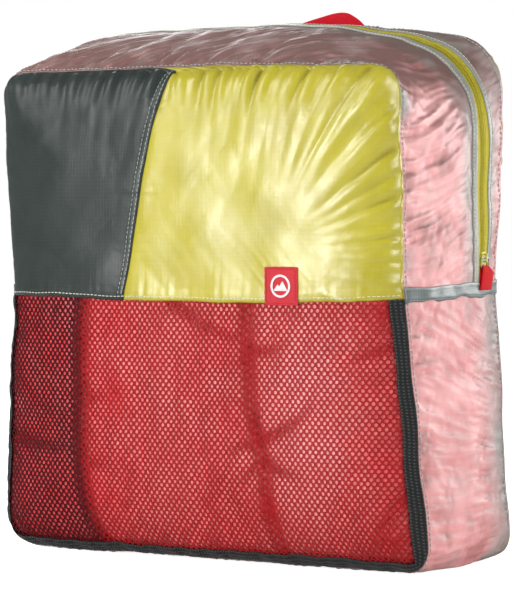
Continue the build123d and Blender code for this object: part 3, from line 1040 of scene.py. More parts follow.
SPUN = (
    # name, colour, darker colour, scale of the mottling, depth, roughness
    ("zipper_coil_look", (226, 214, 70), (186, 176, 40), 0.7, 0.08, 0.35),
    ("thread_grey_look", (196, 202, 198), (150, 158, 154), 1.6, 0.08, 0.55),
    ("thread_white_look", (236, 238, 222), (206, 208, 190), 1.6, 0.08, 0.55),
    ("thread_red_look", (214, 20, 44), (150, 8, 26), 1.6, 0.1, 0.55),
    ("label_print_look", (250, 240, 238), (240, 214, 214), 0.5, 0.04, 0.55),
)
coil_look, thread_look, thread_white_look, thread_red_look, print_look = (
    plain(name, linear(*colour), linear(*dark), scale, deep, Roughness=rough)
    for name, colour, dark, scale, deep, rough in SPUN
)


def metal_look():
    look, tree, shader = new_look("slider_metal_look", Metallic=1.0, Roughness=0.3)
    place = object_mm(tree)
    mottle = soft_step(tree, noise(tree, place, 0.5, 3.0), 0.3, 0.7)
    tint = blend_colours(tree, mottle, linear(196, 198, 200), linear(150, 153, 156))
    tree.links.new(tint, shader.inputs["Base Color"])
    smudges = soft_step(tree, noise(tree, place, 1.5, 3.0), 0.3, 0.7, 0.22, 0.42)
    tree.links.new(smudges, shader.inputs["Roughness"])
    bump(tree, shader, [(noise(tree, place, 2.0, 2.0), 0.03)])
    return look


slider_look = metal_look()
enamel_look = plain(
    "slider_enamel_look", linear(204, 194, 48), linear(182, 172, 36), 0.35, 0.04,
    Roughness=0.28, Coat_Weight=0.6,
)
for name, look in (
    ("zipper_slider", enamel_look),
    ("pull_link", slider_look),
    ("zipper_stops_front", slider_look),
    ("zipper_stops_rear", slider_look),
):
    nodes[name].data.materials.clear()
    nodes[name].data.materials.append(look)


# ---------------------------------------------------------------- front: colour blocks, mesh, edging
blocks = slice(ROW_MESH, None)
left_part, right_part = slice(0, COL_BLOCK + 1), slice(COL_BLOCK, None)
for name, node, columns, slot_name, look in (
    ("front_block_grey", "front_panel_grey", left_part, "ripstop_grey", grey_look),
    ("front_block_lime", "front_panel_lime", right_part, "ripstop_lime", lime_look),
):
    extra = {"flat": flat_front_fine[blocks, columns], "shading_relief": shading_relief_front[blocks, columns]}
    belongs(cloth(name, front[blocks, columns], slot_name, look, extra=extra), "sack", node)

# knitted mesh: rows of upright oval holes, every second row set over by half a hole
HOLE_PITCH, HOLE_ROWS, HOLE_WIDE, HOLE_TALL = 6.1, 3.75, 3.5, 3.95
THREAD_THICK, MESH_SINK, TUCK = 0.4, 0.7, 2.5
BAND_LEFT, BAND_BASE, BAND_RIGHT = 12, 10, 11

# the two valleys between the filling's baffles, x at some heights
VALLEY_Z = (8, 30, 55, 90, 150, 250)
LEFT_VALLEY_X, RIGHT_VALLEY_X = (-104, -114, -119, -122, -122, -122), (97, 93, 89, 87, 73, 66)
# short creases of the filling, from one (x, z) to another
CREASES = (
    ((86, 118), (138, 150)), ((86, 112), (48, 102)), ((80, 125), (60, 152)), ((88, 100), (122, 86)),
    ((86, 95), (62, 74)), ((-14, 240), (66, 206)), ((-225, 114), (-130, 101)), ((-122, 101), (-96, 86)),
    ((232, 206), (176, 188)), ((70, 200), (112, 205)), ((228, 70), (200, 20)), ((-122, 160), (-98, 150)),
)


def left_of_valley(x, z):
    """1 on the baffle left of the left valley, which lies in shade."""
    return np.clip((np.interp(z, VALLEY_Z, LEFT_VALLEY_X) - x) / 4 + 0.9, 0, 1)


def crease_depth(x, z, wide):
    """1 at the middle of a crease, 0 away from them all; each one tapers to its far end."""
    total = np.zeros_like(x)
    for (x0, z0), (x1, z1) in CREASES:
        length = math.hypot(x1 - x0, z1 - z0)
        ux, uz = (x1 - x0) / length, (z1 - z0) / length
        s = ((x - x0) * ux + (z - z0) * uz) / length
        off = abs((x - x0) * uz - (z - z0) * ux - 4 * np.sin(s * 3.1))
        shape = np.clip(1.15 - s, 0, 1) * np.clip(s * 8 + 1, 0, 1) * (s < 1.15)
        total = np.maximum(total, shape * np.exp(-((off / wide) ** 2)))
    return total


def paleness(x, z):
    """Painted sheen on the filling under the mesh: most in the middle of the right-hand baffle, cut by painted shade
    along the valleys and creases.
    """
    shine = 0.16 + 0.62 * np.exp(-(((x - 128) / 62) ** 2) - ((z - 150) / 130) ** 2)
    shine += 0.22 * np.exp(-(((x + 20) / 60) ** 2))
    for line_x in (LEFT_VALLEY_X, RIGHT_VALLEY_X):
        shine = shine * (1 - 0.8 * np.exp(-(((x - np.interp(z, VALLEY_Z, line_x)) / 7) ** 2)))
    return np.clip(shine * (1 - 0.7 * crease_depth(x, z, 5)), 0, 1)


def knitted_mesh():
    """The lattice as one closed sheet: a hexagon of cloth round each oval hole."""
    half_x, slope_z = HOLE_PITCH / 2, (HOLE_PITCH**2 / 4 + HOLE_ROWS**2) / (2 * HOLE_ROWS)
    side_z = slope_z - (HOLE_PITCH / 2) ** 2 / HOLE_ROWS
    right_half = [(0, slope_z), (half_x, side_z), (half_x, -side_z)]
    cell = np.array(right_half + [(-x, -z) for x, z in right_half])
    ways = np.radians([90, 30, -30, -90, -150, 150])
    hole = np.stack([HOLE_WIDE / 2 * np.cos(ways) * 1.12, HOLE_TALL / 2 * np.sin(ways)], 1)
    inner_z = (BAND_BASE * 0.55, MESH_TOP + TUCK - 3)
    centres = []
    for row in range(int((inner_z[1] - inner_z[0]) / HOLE_ROWS)):
        z = inner_z[0] + (row + 0.5) * HOLE_ROWS
        left, right = (
            edge["bottom"] - (edge["bottom"] - edge["waist"]) * z / HINGE_Z for edge in (LEFT_FRONT, RIGHT_FRONT)
        )
        left, right = BAND_LEFT * 0.6 - left, right - BAND_RIGHT * 0.6
        near_base = max(0.0, 16 - z)
        left, right = left + near_base * 0.6, right - near_base * 0.6
        first = math.ceil((left + half_x) / HOLE_PITCH - 0.5 * (row % 2))
        last = math.floor((right - half_x) / HOLE_PITCH - 0.5 * (row % 2))
        centres += [((k + 0.5 * (row % 2)) * HOLE_PITCH, z) for k in range(first, last + 1)]
    centres = np.array(centres)
    jitter = np.random.default_rng(71).normal(0, 0.1, (len(centres), 6, 2))
    cells = centres[:, None] + cell[None]
    holes = centres[:, None] + hole[None] + jitter
    flat = np.concatenate([cells.reshape(-1, 2), holes.reshape(-1, 2)])
    key = np.round(flat / 0.02).astype(int)
    _, first_use, same = np.unique(key, axis=0, return_index=True, return_inverse=True)
    same = same.ravel()
    flat = flat[first_use]
    n = len(flat)
    many = len(centres)
    cell_ids = same[: many * 6].reshape(many, 6)
    hole_ids = same[many * 6 :].reshape(many, 6)
    corners = [(cell_ids[:, k], cell_ids[:, (k + 1) % 6], hole_ids[:, k], hole_ids[:, (k + 1) % 6]) for k in range(6)]
    top = np.concatenate([np.stack([c2, c1, h1, h2], 1) for c1, c2, h1, h2 in corners])
    walls = np.concatenate([np.stack([h1, h2, h2 + n, h1 + n], 1) for _, _, h1, h2 in corners])
    sides = np.concatenate([np.stack([c2, c1], 1) for c1, c2, _, _ in corners])
    # an edge that only one cell has is on the rim
    lone = {}
    for a, b in sides.tolist():
        edge = (min(a, b), max(a, b))
        lone[edge] = None if edge in lone else (a, b)
    rim = [(b, a, a + n, b + n) for a, b in filter(None, lone.values())]
    place = find_front(flat[:, 0], flat[:, 1])
    surface = at(front, *place)
    out = unit(at(front_out, *place))
    is_hole = np.zeros(n, bool)
    is_hole[hole_ids.ravel()] = True
    lift = np.where(is_hole, -0.12, 0.06)
    points = np.concatenate(
        [surface + out * (sunk - MESH_SINK)[:, None] for sunk in (lift, -lift - THREAD_THICK)]
    )
    faces = top.tolist() + (top[:, ::-1] + n).tolist() + walls.tolist() + rim
    shade = np.where(is_hole, 0.3, 0.0) + left_of_valley(flat[:, 0], flat[:, 1]) * 0.85
    # pale: the painted sheen of the filling below
    extra = {"shade": np.tile(np.clip(shade, 0, 1), 2), "pale": np.tile(paleness(flat[:, 0], flat[:, 1]), 2)}
    return solid("front_mesh", points, faces, "mesh_black", mesh_thread_look(), extra)


belongs(knitted_mesh(), "sack", "front_mesh_panel")


def edging():
    """The doubled mesh edging, down the left side, along the base and up the right side."""
    w_left, w_base, w_right = BAND_LEFT / 2.1, BAND_BASE / 2.05, BAND_RIGHT / 2.15
    rise = 1.1
    down = np.linspace(0, 1, ROW_MESH + 1)
    across = np.linspace(0, 1, N_COL + 1)
    share = np.linspace(0, 1, 9)[:, None]
    rows, columns = [], []
    for outer, inner in (
        (
            (ROW_MESH * (1 - down), 0 * down),
            (ROW_MESH + (w_base - ROW_MESH) * down, w_left + 0 * down),
        ),
        (
            (0 * across, N_COL * across),
            (w_base + 0 * across, w_left + (N_COL - w_right - w_left) * across),
        ),
        (
            (ROW_MESH * down, N_COL + 0 * down),
            (w_base + (ROW_MESH - w_base) * down, N_COL - w_right + 0 * down),
        ),
    ):
        start = 0 if not rows else 1
        rows.append((outer[0] * (1 - share) + inner[0] * share)[:, start:])
        columns.append((outer[1] * (1 - share) + inner[1] * share)[:, start:])
    rows, columns = np.concatenate(rows, 1), np.concatenate(columns, 1)
    grid = at(front, rows, columns)
    wave = 0.25 * np.sin(columns * 0.55 + rows * 0.43) * np.sin(share * math.pi)
    profile = rise * (0.35 + 0.65 * np.sin(np.clip(share * 1.15, 0, 1) * math.pi) ** 0.35) + wave
    flat = np.stack(np.broadcast_arrays(lengths_along(grid[0])[None], share * 14), -1)
    return cloth(
        "mesh_edging", grid, "mesh_black", doubled_mesh_look(),
        lift=profile, thickness=0.7, extra={"flat": flat},
    )


belongs(edging(), "sack", "mesh_edge_band")

# ---------------------------------------------------------------- gusset and back
pink_noise = lumps(gusset.reshape(-1, 3), 70, 81, 3).reshape(gusset.shape[:2])
fine_noise = lumps(gusset.reshape(-1, 3), 26, 82, 2).reshape(gusset.shape[:2])
sideness = np.clip(abs(gusset_out[..., 0]) * 1.25 - 0.05, 0, 1)
topness = np.clip(gusset_out[..., 2], 0, 1)
stand_off = np.clip(1 - np.minimum(np.maximum(zip_way, 0), 20) / 20, 0, 1) * is_upper[None]
pink = 0.46 + 0.50 * sideness + 0.16 * pink_noise - 0.03 * shading_relief_gusset + 0.05 * fine_noise
pink -= 0.75 * stand_off
pink -= 0.8 * np.clip(depth - 22, 0, 45) / 45 * ~is_upper[None]
# silver near the front seam and its top right corner: the cloth's own grey where it stands off the filling, and a
# painted silvery sheen
corner_silver = np.exp(-(((run - corner_run + 22) / 26) ** 2) - ((depth + SEAM_Y) / 17) ** 2)
along_seam = np.exp(-(((depth + SEAM_Y) / 9) ** 2)) * np.clip(0.3 + fine_noise, 0, 1)
pink -= 0.95 * corner_silver + 0.3 * along_seam
pink -= 0.55 * np.exp(-(((run - corner_run + 10) / 60) ** 2)) * np.clip((depth - 66) / 12, 0, 1)
pink = np.clip(pink, 0, 0.96)
stretched = gusset.reshape(-1, 3) * np.array([1, 0.45, 1.6])
pink_tone_noise = lumps(stretched, 60, 83, 2).reshape(gusset.shape[:2])
# lower in the hollows of the relief, for painted shade in the folds; the noise and the deeper patch by the top right
# corner vary the pink's tone
pink_fold_shade_and_tone = 0.86 + 0.07 * shading_relief_gusset + 0.16 * pink_tone_noise - 0.2 * ~is_upper[None]
pink_fold_shade_and_tone -= 0.9 * np.exp(-(((run - corner_run - 22) / 42) ** 2) - ((depth - 36) / 34) ** 2)
pink_fold_shade_and_tone = np.clip(pink_fold_shade_and_tone, 0, 1)
# painted shade: darker mauve-grey where the gusset faces up, and towards the rear of the lower gusset
mauve_shade = np.clip(1.0 * topness - 0.05 * shading_relief_gusset + 0.3 * pink_noise, 0, 0.86)
mauve_shade = np.maximum(mauve_shade, 0.55 * np.clip((depth - 45) / 35, 0, 1) * ~is_upper[None])
gusset_extra = {
    "flat": flat_gusset, "shading_relief": shading_relief_gusset, "pink": pink, "pink_fold_shade_and_tone": pink_fold_shade_and_tone, "mauve_shade": mauve_shade
}
low_columns = np.arange(HINGE_LEFT, HINGE_RIGHT + N_AROUND + 1) % N_AROUND
high_columns = np.arange(HINGE_RIGHT, HINGE_LEFT + 1)


def gusset_part(name, rows, columns, body, node):
    extra = {k: v[rows][:, columns] for k, v in gusset_extra.items()}
    part = gusset[rows][:, columns]
    belongs(cloth(name, part, "ripstop_silver", gusset_look, out=-1, extra=extra), body, node)


gusset_part("gusset_lower_cloth", slice(0, None), low_columns, "sack", "gusset_lower")
gusset_part("gusset_front_cloth", slice(0, K_SLOT + 1), high_columns, "sack", "gusset_front_strip")
gusset_part("gusset_rear_cloth", slice(K_SLOT_REAR, None), high_columns, "back_flap", "gusset_rear_strip")

back_piece = cloth(
    "back_panel", back, "ripstop_lime", lime_back_look, out=-1,
    extra={"flat": flat_back_fine, "shading_relief": back_relief},
)
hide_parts("back_panel_lower", "back_panel_upper")
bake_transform(back_piece)

# folded hems at the waist, a little higher at the back
HEM_CLIMB = 5
HEM_HEIGHTS = (244.0, 245.0, 247.5, 250.5, 253.5, 255.6, 256.5, 256.7)
HEM_LIFTS = (0.5, 1.25, 1.45, 1.4, 1.55, 1.8, 1.6, 0.9)
# per row of the hem: high values paint a highlight along the top of its fold, low ones painted shade at its foot and
# top edge
HEM_PAINTED_SHADE_AND_HIGHLIGHT = (-2, -0.5, 1, 1.5, 0, 4, 5, -1.0)
for name, side, first in (("hem_right", 1, N_COL), ("hem_left", -1, 2 * N_COL + N_ROW)):
    heights = np.array(HEM_HEIGHTS)
    ladder_rows = np.arange(N_ROW + 1)
    side_columns = first + ladder_rows if side > 0 else (first + N_ROW - ladder_rows)
    ladder = at(gusset, np.full(N_ROW + 1, N_DEEP / 2), side_columns, True)[:, 2]
    rows = np.arange(N_DEEP + 1, dtype=float)
    climb = HEM_CLIMB * (fine_depths + SEAM_Y) / (2 * SEAM_Y)
    ragged = 1.1 * np.sin(fine_depths / 9 + side) + 0.7 * np.sin(fine_depths / 4.1)
    tall = heights[None] + climb[:, None] + ragged[:, None] * np.clip((250 - heights) / 6, 0, 1)[None]
    columns = np.interp(tall, ladder, side_columns.astype(float))
    grid = at(gusset, np.broadcast_to(rows[:, None], columns.shape), columns, True)
    wavy = np.array([0, 1, 1, 1, 1, 1, 0.5, 0])
    lifts = np.array(HEM_LIFTS)[None] + 0.25 * np.sin(fine_depths * 0.23)[:, None] * wavy[None]
    flat = np.stack(np.broadcast_arrays(heights[None], fine_depths[:, None]), -1)
    uneven = lumps(grid.reshape(-1, 3), 30, 91).reshape(grid.shape[:2])
    extra = {"flat": flat, "shading_relief": np.array(HEM_PAINTED_SHADE_AND_HIGHLIGHT)[None] + 1.2 * uneven}
    piece = cloth(name, grid, "ripstop_silver", hem_look, -side, lifts, 0.45, extra)
    belongs(piece, "sack", "gusset_" + name)

# ---------------------------------------------------------------- bindings along the seams, inside
def binding(name, node, body, first, last, y_seam):
    """A folded tape that wraps the seam allowances: a flat strip just inside the seam."""
    columns = np.arange(first, last)
    y_way = 1 if y_seam < 0 else -1
    across = np.array([0.3, 1.5, 3.2, 4.2])
    place = np.broadcast_to(columns.astype(float), (len(across), len(columns)))
    base = on_gusset(y_seam + y_way * across[:, None], place, -1.2)
    flat = np.stack(np.broadcast_arrays(np.arange(len(columns))[None] * 2.1, across[:, None]), -1)
    piece = cloth(name, base, "binding_grey", binding_look, out=-1, thickness=0.6, extra={"flat": flat})
    belongs(piece, body, node)


binding("front_seam_tape", "front_seam_binding", "sack", 0, N_AROUND, -SEAM_Y)
binding(
    "rear_seam_tape_lower", "rear_seam_binding_lower", "sack",
    HINGE_LEFT + 2, HINGE_RIGHT - 1 + N_AROUND, SEAM_Y,
)
binding(
    "rear_seam_tape_upper", "rear_seam_binding_upper", "back_flap", HINGE_RIGHT + 2, HINGE_LEFT - 1, SEAM_Y
)

# ---------------------------------------------------------------- zipper
zip_columns = np.arange(HINGE_RIGHT + 1, HINGE_LEFT, dtype=float)
zip_run = lengths_along(on_gusset(ZIP_Y, zip_columns))
after_right_corner = np.clip((zip_columns - (N_COL + N_ROW - 34)) / 26, 0, 1)
before_left_corner = np.clip((2 * N_COL + N_ROW + 34 - zip_columns) / 26, 0, 1)
over_top = after_right_corner * before_left_corner


def tucked(y):
    """The tapes and facings lie closer to the coils where the zipper runs over the top."""
    return y + 4.6 * over_top * (np.clip((41 - y) / 6, 0, 1) - np.clip((y - 50.5) / 6, 0, 1))


def zip_strip(name, node, body, ys, lifts, look, slot_name, thickness, extra_shading_relief=0.0):
    ys, lifts = np.array(ys, float), np.array(lifts, float)
    strip_ys = tucked(ys[:, None] + 0 * zip_columns)
    columns = zip_columns + 0 * strip_ys
    grid = on_gusset(strip_ys, columns, 0.0)
    out = unit(on_gusset(strip_ys, columns, 1.0) - grid)
    grid = grid + out * lifts[:, None, None]
    flat = np.stack(np.broadcast_arrays(zip_run[None], ys[:, None]), -1)
    extra = {"flat": flat[..., ::-1], "shading_relief": np.full(grid.shape[:2], extra_shading_relief)}
    piece = cloth(name, grid, slot_name, look, out=-1, thickness=thickness, extra=extra)
    belongs(piece, body, node)


zip_strip(
    "zipper_tape_front_half", "zipper_tape_front", "sack", (32.5, 35, 38, 40, 42.4, 43.2, 45.7),
    (0.75, 0.85, 0.75, 0.45, 0.0, -0.4, -0.6), tape_look, "zipper_lime", 0.5,
)
zip_strip(
    "zipper_tape_rear_half", "zipper_tape_rear", "back_flap", (46.3, 48.8, 49.6, 52, 54, 57, 59.5),
    (-0.6, -0.4, 0.0, 0.45, 0.75, 0.85, 0.75), tape_look, "zipper_lime", 0.5,
)
zip_strip(
    # the facings' last argument, 1.0, gives them a faint painted highlight
    "zipper_facing_front_fold", "zipper_facing_front", "sack", (28.2, 28.6, 30.0, 32.5, 35.1, 36.1, 36.5),
    (0.2, 0.9, 1.0, 1.2, 1.65, 1.5, 1.0), facing_look, "ripstop_silver", 0.4, 1.0,
)
zip_strip(
    "zipper_facing_rear_fold", "zipper_facing_rear", "back_flap", (54.9, 55.3, 56.5, 59.5, 61.4, 61.9),
    (1.0, 1.45, 1.55, 1.3, 0.95, 0.25), facing_look, "ripstop_silver", 0.4, 1.0,
)


def zipper_coil(name, node, body, side):
    """One half of the coil: a helix of nylon wire sewn along the tape's edge."""
    pitch, points_a_turn, reach, height = 1.45, 8, 1.15, 0.62
    length = zip_run[-1] - 6
    turns = int(length / pitch)
    t = np.arange(turns * points_a_turn) / points_a_turn
    s = 3 + t * pitch
    columns = np.interp(s, zip_run, zip_columns)
    angle = 2 * math.pi * t + (0 if side < 0 else math.pi)
    y = ZIP_Y + side * 1.55 + reach * np.cos(angle)
    base = on_gusset(y, columns, 0.0)
    up = unit(on_gusset(y, columns, 1.0) - base)
    path = base + up * (0.25 + height * np.sin(angle))[:, None]
    belongs(solid(name, *tube(path, 0.32, 5), "zipper_lime", coil_look), body, node)


zipper_coil("zipper_coil_front_half", "zipper_coil_front", "sack", -1)
zipper_coil("zipper_coil_rear_half", "zipper_coil_rear", "back_flap", 1)

# the ribbon on the pull: a folded loop of ribbon through the wire link, sewn shut below
pivot_joint = next(j for j in frame["joints"] if j["name"] == "pull_swing")
PIVOT = np.array(pivot_joint["pos_m"]) / MM
LINK_HEIGHT, RIBBON_WIDTH, RIBBON_LENGTH = 8.5, 12.6, 21


def ribbon_loop():
    wire = PIVOT + np.array([0, 0, -LINK_HEIGHT])
    fold_radius = 1.15
    back_ply = [(-fold_radius, -t) for t in np.linspace(RIBBON_LENGTH, 1.5, 12)]
    bend = [(fold_radius * math.cos(a), fold_radius * math.sin(a)) for a in np.linspace(math.pi, 0, 9)]
    front_ply = [(fold_radius, -t) for t in np.linspace(1.5, RIBBON_LENGTH, 12)]
    path = np.array(back_ply + bend + front_ply)
    down = np.clip(-path[:, 1] / RIBBON_LENGTH, 0, 1)
    path[:, 0] *= 1 - 0.42 * down
    path[:, 0] += 0.9 * np.sin(down * 2.6) * (1 - down) + 0.35 * down
    across = np.linspace(-RIBBON_WIDTH / 2, RIBBON_WIDTH / 2, 9)
    lean = -4.2 * down**1.2
    cup = 0.35 * np.cos(across / RIBBON_WIDTH * math.pi)
    turn = 0.4 * np.clip(down * 5, 0, 1)[:, None]
    x = wire[0] + path[:, 0][:, None] + cup[None] * down[:, None] + (across[None] + 4.5) * np.sin(turn)
    narrower = 1 - 0.05 * np.sin(np.clip(1 - down, 0, 1) * math.pi / 2)[:, None] ** 6
    y = wire[1] + across[None] * narrower + lean[:, None]
    z = wire[2] + path[:, 1][:, None] + 0 * across[None] + 0.03 * across[None] * down[:, None]
    grid = np.stack([x, y, z], -1)
    flat = np.stack(np.broadcast_arrays(across[None], lengths_along(path)[:, None]), -1)
    piece = cloth("pull_ribbon_loop", grid, "webbing_red", ribbon_look, thickness=0.45, extra={"flat": flat})
    belongs(piece, "pull", "pull_ribbon")
    line = np.stack([x[-3] + 0.15, y[-3], z[-3]], 1)[1:-1]
    outward = np.tile([1.0, 0, 0], (len(line), 1))
    points, faces = merged(stitches(line, outward, 1.7, 0.7, 0.22))
    belongs(solid("pull_ribbon_stitches", points, faces, "thread_red", thread_red_look), "pull")


ribbon_loop()

# ---------------------------------------------------------------- label
EMBLEM_RADIUS = 10.5
label_line = np.linspace(-LABEL_SIZE / 2, LABEL_SIZE / 2, 29)
lx, lz = np.meshgrid(label_line, label_line)
LABEL_HALF = LABEL_SIZE / 2
rounded = 0.6 * (abs(lx) / LABEL_HALF) ** 6 * (abs(lz) / LABEL_HALF) ** 6
curl = 0.5 * np.clip((abs(lx) / LABEL_HALF) ** 8, 0, 1) * np.sin(lz * 0.9)
curl += 0.35 * np.clip((abs(lz) / LABEL_HALF) ** 8, 0, 1) * np.sin(lx * 0.8)
stitch_dip = 0.35 * np.exp(-(((LABEL_HALF - np.maximum(abs(lx), abs(lz)) - 2) / 0.8) ** 2))


def over_label(x, z, lift):
    """A place on the label's face: the cloth under it, evened out as a stiff label does."""
    steps = ((0, 0), (5, 0), (-5, 0), (0, 5), (0, -5))
    near = [on_front(LABEL_X + x + dx, LABEL_Z + z + dz) for dx, dz in steps]
    surface = near[0].copy()
    surface[..., 1] = sum(n[..., 1] for n in near) / 5
    surface[..., 1] -= np.asarray(lift, float)
    return surface


label_grid = over_label(lx * (1 - 0.03 * rounded), lz * (1 - 0.03 * rounded), 1.3 + 0.5 * curl - stitch_dip)
label_flat = {"flat": np.stack([lx, lz], -1)}
label = cloth("label", label_grid, "label_red", label_look, thickness=0.6, extra=label_flat)
belongs(label, "sack", "label_patch")

# the mark: a plain ring with two peaks
rings = np.linspace(0.8, 1, 4)[:, None]
turn = np.linspace(0, 2 * math.pi, 65)[None]
ex, ez = EMBLEM_RADIUS * rings * np.cos(turn), EMBLEM_RADIUS * rings * np.sin(turn)
disc = over_label(ex, ez, 1.75)[:, ::-1]
ring_flat = {"flat": np.stack([ex, ez], -1)}
emblem = cloth("label_emblem_ring", disc, "label_white", print_look, -1, thickness=0.35, extra=ring_flat)
belongs(emblem, "sack", "label_emblem")
PEAKS = ((-7.0, -3.6), (-3.2, 1.6), (-1.4, -0.4), (2.0, 4.6), (7.0, -3.6))
px = np.linspace(-7.0, 7.0, 41)
ridge = np.interp(px, [p[0] for p in PEAKS], [p[1] for p in PEAKS])
share = np.linspace(0, 1, 6)[:, None]
pz = -4.4 * (1 - share) + np.maximum(ridge, -4.2)[None] * share
peaks_grid = over_label(np.broadcast_to(px, pz.shape), pz, 1.75)
peaks_flat = {"flat": np.stack(np.broadcast_arrays(px[None], pz), -1)}
peaks = cloth("label_emblem_peaks", peaks_grid, "label_white", print_look, thickness=0.35, extra=peaks_flat)
belongs(peaks, "sack")

# ---------------------------------------------------------------- carry handle
HANDLE_Y, HANDLE_WIDTH, HANDLE_FOOT_Z = 98.1, 14, 484
HANDLE_KNOTS = (
    (-53, 476), (-53, 486), (-40, 494), (0, 505.5), (34, 513.5),
    (47, 514.5), (58, 508), (72, 494), (80, 486), (81, 476),
)


def handle_strap():
    """The loop: webbing on edge, folded over where it turns at the top."""
    knots = np.array(HANDLE_KNOTS, float)
    t = lengths_along(knots)
    fine = np.linspace(0, t[-1], 90)
    line = np.stack([np.interp(fine, t, knots[:, k]) for k in (0, 1)], 1)
    for _ in range(6):
        line[1:-1] = line[1:-1] * 0.5 + (line[:-2] + line[2:]) * 0.25
    tangent = unit(np.gradient(line, axis=0))
    side = np.stack([-tangent[:, 1], tangent[:, 0]], 1)
    across = np.linspace(-HANDLE_WIDTH / 2, HANDLE_WIDTH / 2, 11)
    ripple = 0.7 * np.sin(fine / 17.0) + 0.35 * np.sin(fine / 7.3 + 1)
    x = line[:, 0][:, None] + side[:, 0][:, None] * across[None]
    z = line[:, 1][:, None] + side[:, 1][:, None] * across[None]
    foot = np.clip((z - 482) / 14, 0, 1)
    y = HANDLE_Y - 0.2 + ripple[:, None] * foot + 0.05 * across[None] * np.sin(fine / 30)[:, None] * foot
    z = np.minimum(z, 522.5)
    grid = np.stack([x, y, z], -1)
    extra = {"flat": np.stack(np.broadcast_arrays(across[None], fine[:, None]), -1)}
    edge = -0.3 * (abs(across) / 7) ** 6
    piece = cloth("carry_handle_loop", grid, "webbing_red", handle_look, 1, 0.85 + edge[None], 1.7, extra)
    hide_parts("carry_handle")
    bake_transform(piece)


handle_strap()


ends, tacks = [], []
for foot_x in (-53, 81):
    gx, gz = np.meshgrid(np.linspace(-7, 7, 11), np.linspace(-13, 0, 14))
    base = on_back(foot_x + gx, HANDLE_FOOT_Z + gz, 0.95 - 0.25 * (abs(gx) / 7) ** 6)
    below = on_back(foot_x + gx, HANDLE_FOOT_Z + gz, 0.0)
    m, n = gx.shape
    index = np.arange(m * n).reshape(m, n)
    outer = border(index)
    rim = np.stack([outer, np.roll(outer, -1), np.roll(outer, -1) + m * n, outer + m * n], 1)
    faces = quads(index, True).tolist() + quads(index + m * n, False).tolist() + rim.tolist()
    ends.append((np.concatenate([base.reshape(-1, 3), below.reshape(-1, 3)]), faces))
    for row_z in (-2.2, -9.8):
        zigzag = HANDLE_FOOT_Z + row_z + 1.2 * np.where(np.arange(46) % 2, 1, -1)
        tacks.append(tube(on_back(foot_x + np.linspace(-5.6, 5.6, 46), zigzag, 1.15), 0.3, 5))
# both faces of both feet have the same flat coordinates
feet_flat = {"flat": np.tile(np.stack([gx, gz, 0 * gx], -1).reshape(-1, 3), (4, 1))}
feet = solid("handle_feet", *merged(ends), "webbing_red", handle_look, feet_flat)
belongs(feet, "back_flap", "handle_sewn_ends")
bartacks = solid("handle_bartack_thread", *merged(tacks), "thread_red", thread_red_look)
belongs(bartacks, "back_flap", "handle_bartacks")

# ---------------------------------------------------------------- stitching
def sew(name, body, parts, slot_name, look):
    belongs(solid(name, *merged(parts), slot_name, look), body)


def row_of(grid, out, rows, columns, lift, closed=False):
    """Points of a line of stitches on a grid, and the outward way at each."""
    line = at(grid, rows, columns, closed)
    way = unit(at(out, rows, columns, closed))
    return line + way * lift, way


def gusset_row(row, columns):
    return row_of(gusset, gusset_out, np.full(len(columns), row), columns, 0.3, True)


cols_all = np.linspace(1, N_COL - 1, N_COL)
top_seam = row_of(front, front_out, np.full(len(cols_all), ROW_MESH + 1.4), cols_all, 0.25)
sew("stitches_mesh_top", "sack", stitches(*top_seam, 3.0, 1.4, 0.4), "binding_grey", thread_white_look)
rows_up = np.arange(ROW_MESH + 2, N_ROW - 1, 1.0)
block_parts = []
for offset in (-1.4, -3.6):
    block_line = row_of(front, front_out, rows_up, np.full(len(rows_up), COL_BLOCK + offset), 0.25)
    block_parts += stitches(*block_line, 3.0, 1.4, 0.36)
sew("stitches_block_seam", "sack", block_parts, "binding_grey", thread_look)
# round the front seam, except where it lies on the floor
base_clear = gusset[1, :, 2] > 3
front_ring = [c for c in np.arange(0, N_AROUND + 1, 1.0) if base_clear[int(c) % N_AROUND]]
split_at = int(np.argmax(np.diff(front_ring)))
if np.max(np.diff(front_ring)) > 1.5:
    front_ring = front_ring[split_at + 1 :] + [c + N_AROUND for c in front_ring[: split_at + 1]]
front_seam = stitches(*gusset_row(1.5, np.array(front_ring)), 3.2, 1.7, 0.42)
sew("stitches_front_seam", "sack", front_seam, "binding_grey", thread_look)
rear_ring = np.arange(HINGE_RIGHT + 2, HINGE_LEFT - 1, 1.0)
rear_up = stitches(*gusset_row(N_DEEP - 1.6, rear_ring), 3.2, 1.7, 0.4)
sew("stitches_rear_seam_upper", "back_flap", rear_up, "binding_grey", thread_look)
rear_low = []
for first, last in ((HINGE_LEFT + 2, N_AROUND - 12), (N_COL + 12, HINGE_RIGHT - 2)):
    rear_low += stitches(*gusset_row(N_DEEP - 1.6, np.arange(first, last, 1.0)), 3.2, 1.7, 0.4)
sew("stitches_rear_seam_lower", "sack", rear_low, "binding_grey", thread_look)


def zip_row(y, lift, body, name, look, slot_name, size=0.3, length=2.4, gap=1.1):
    row_ys = tucked(y + 0 * zip_columns)
    line = on_gusset(row_ys, zip_columns, lift)
    way = unit(on_gusset(row_ys, zip_columns, lift + 1.0) - line)
    sew(name, body, stitches(line, way, length, gap, size), slot_name, look)


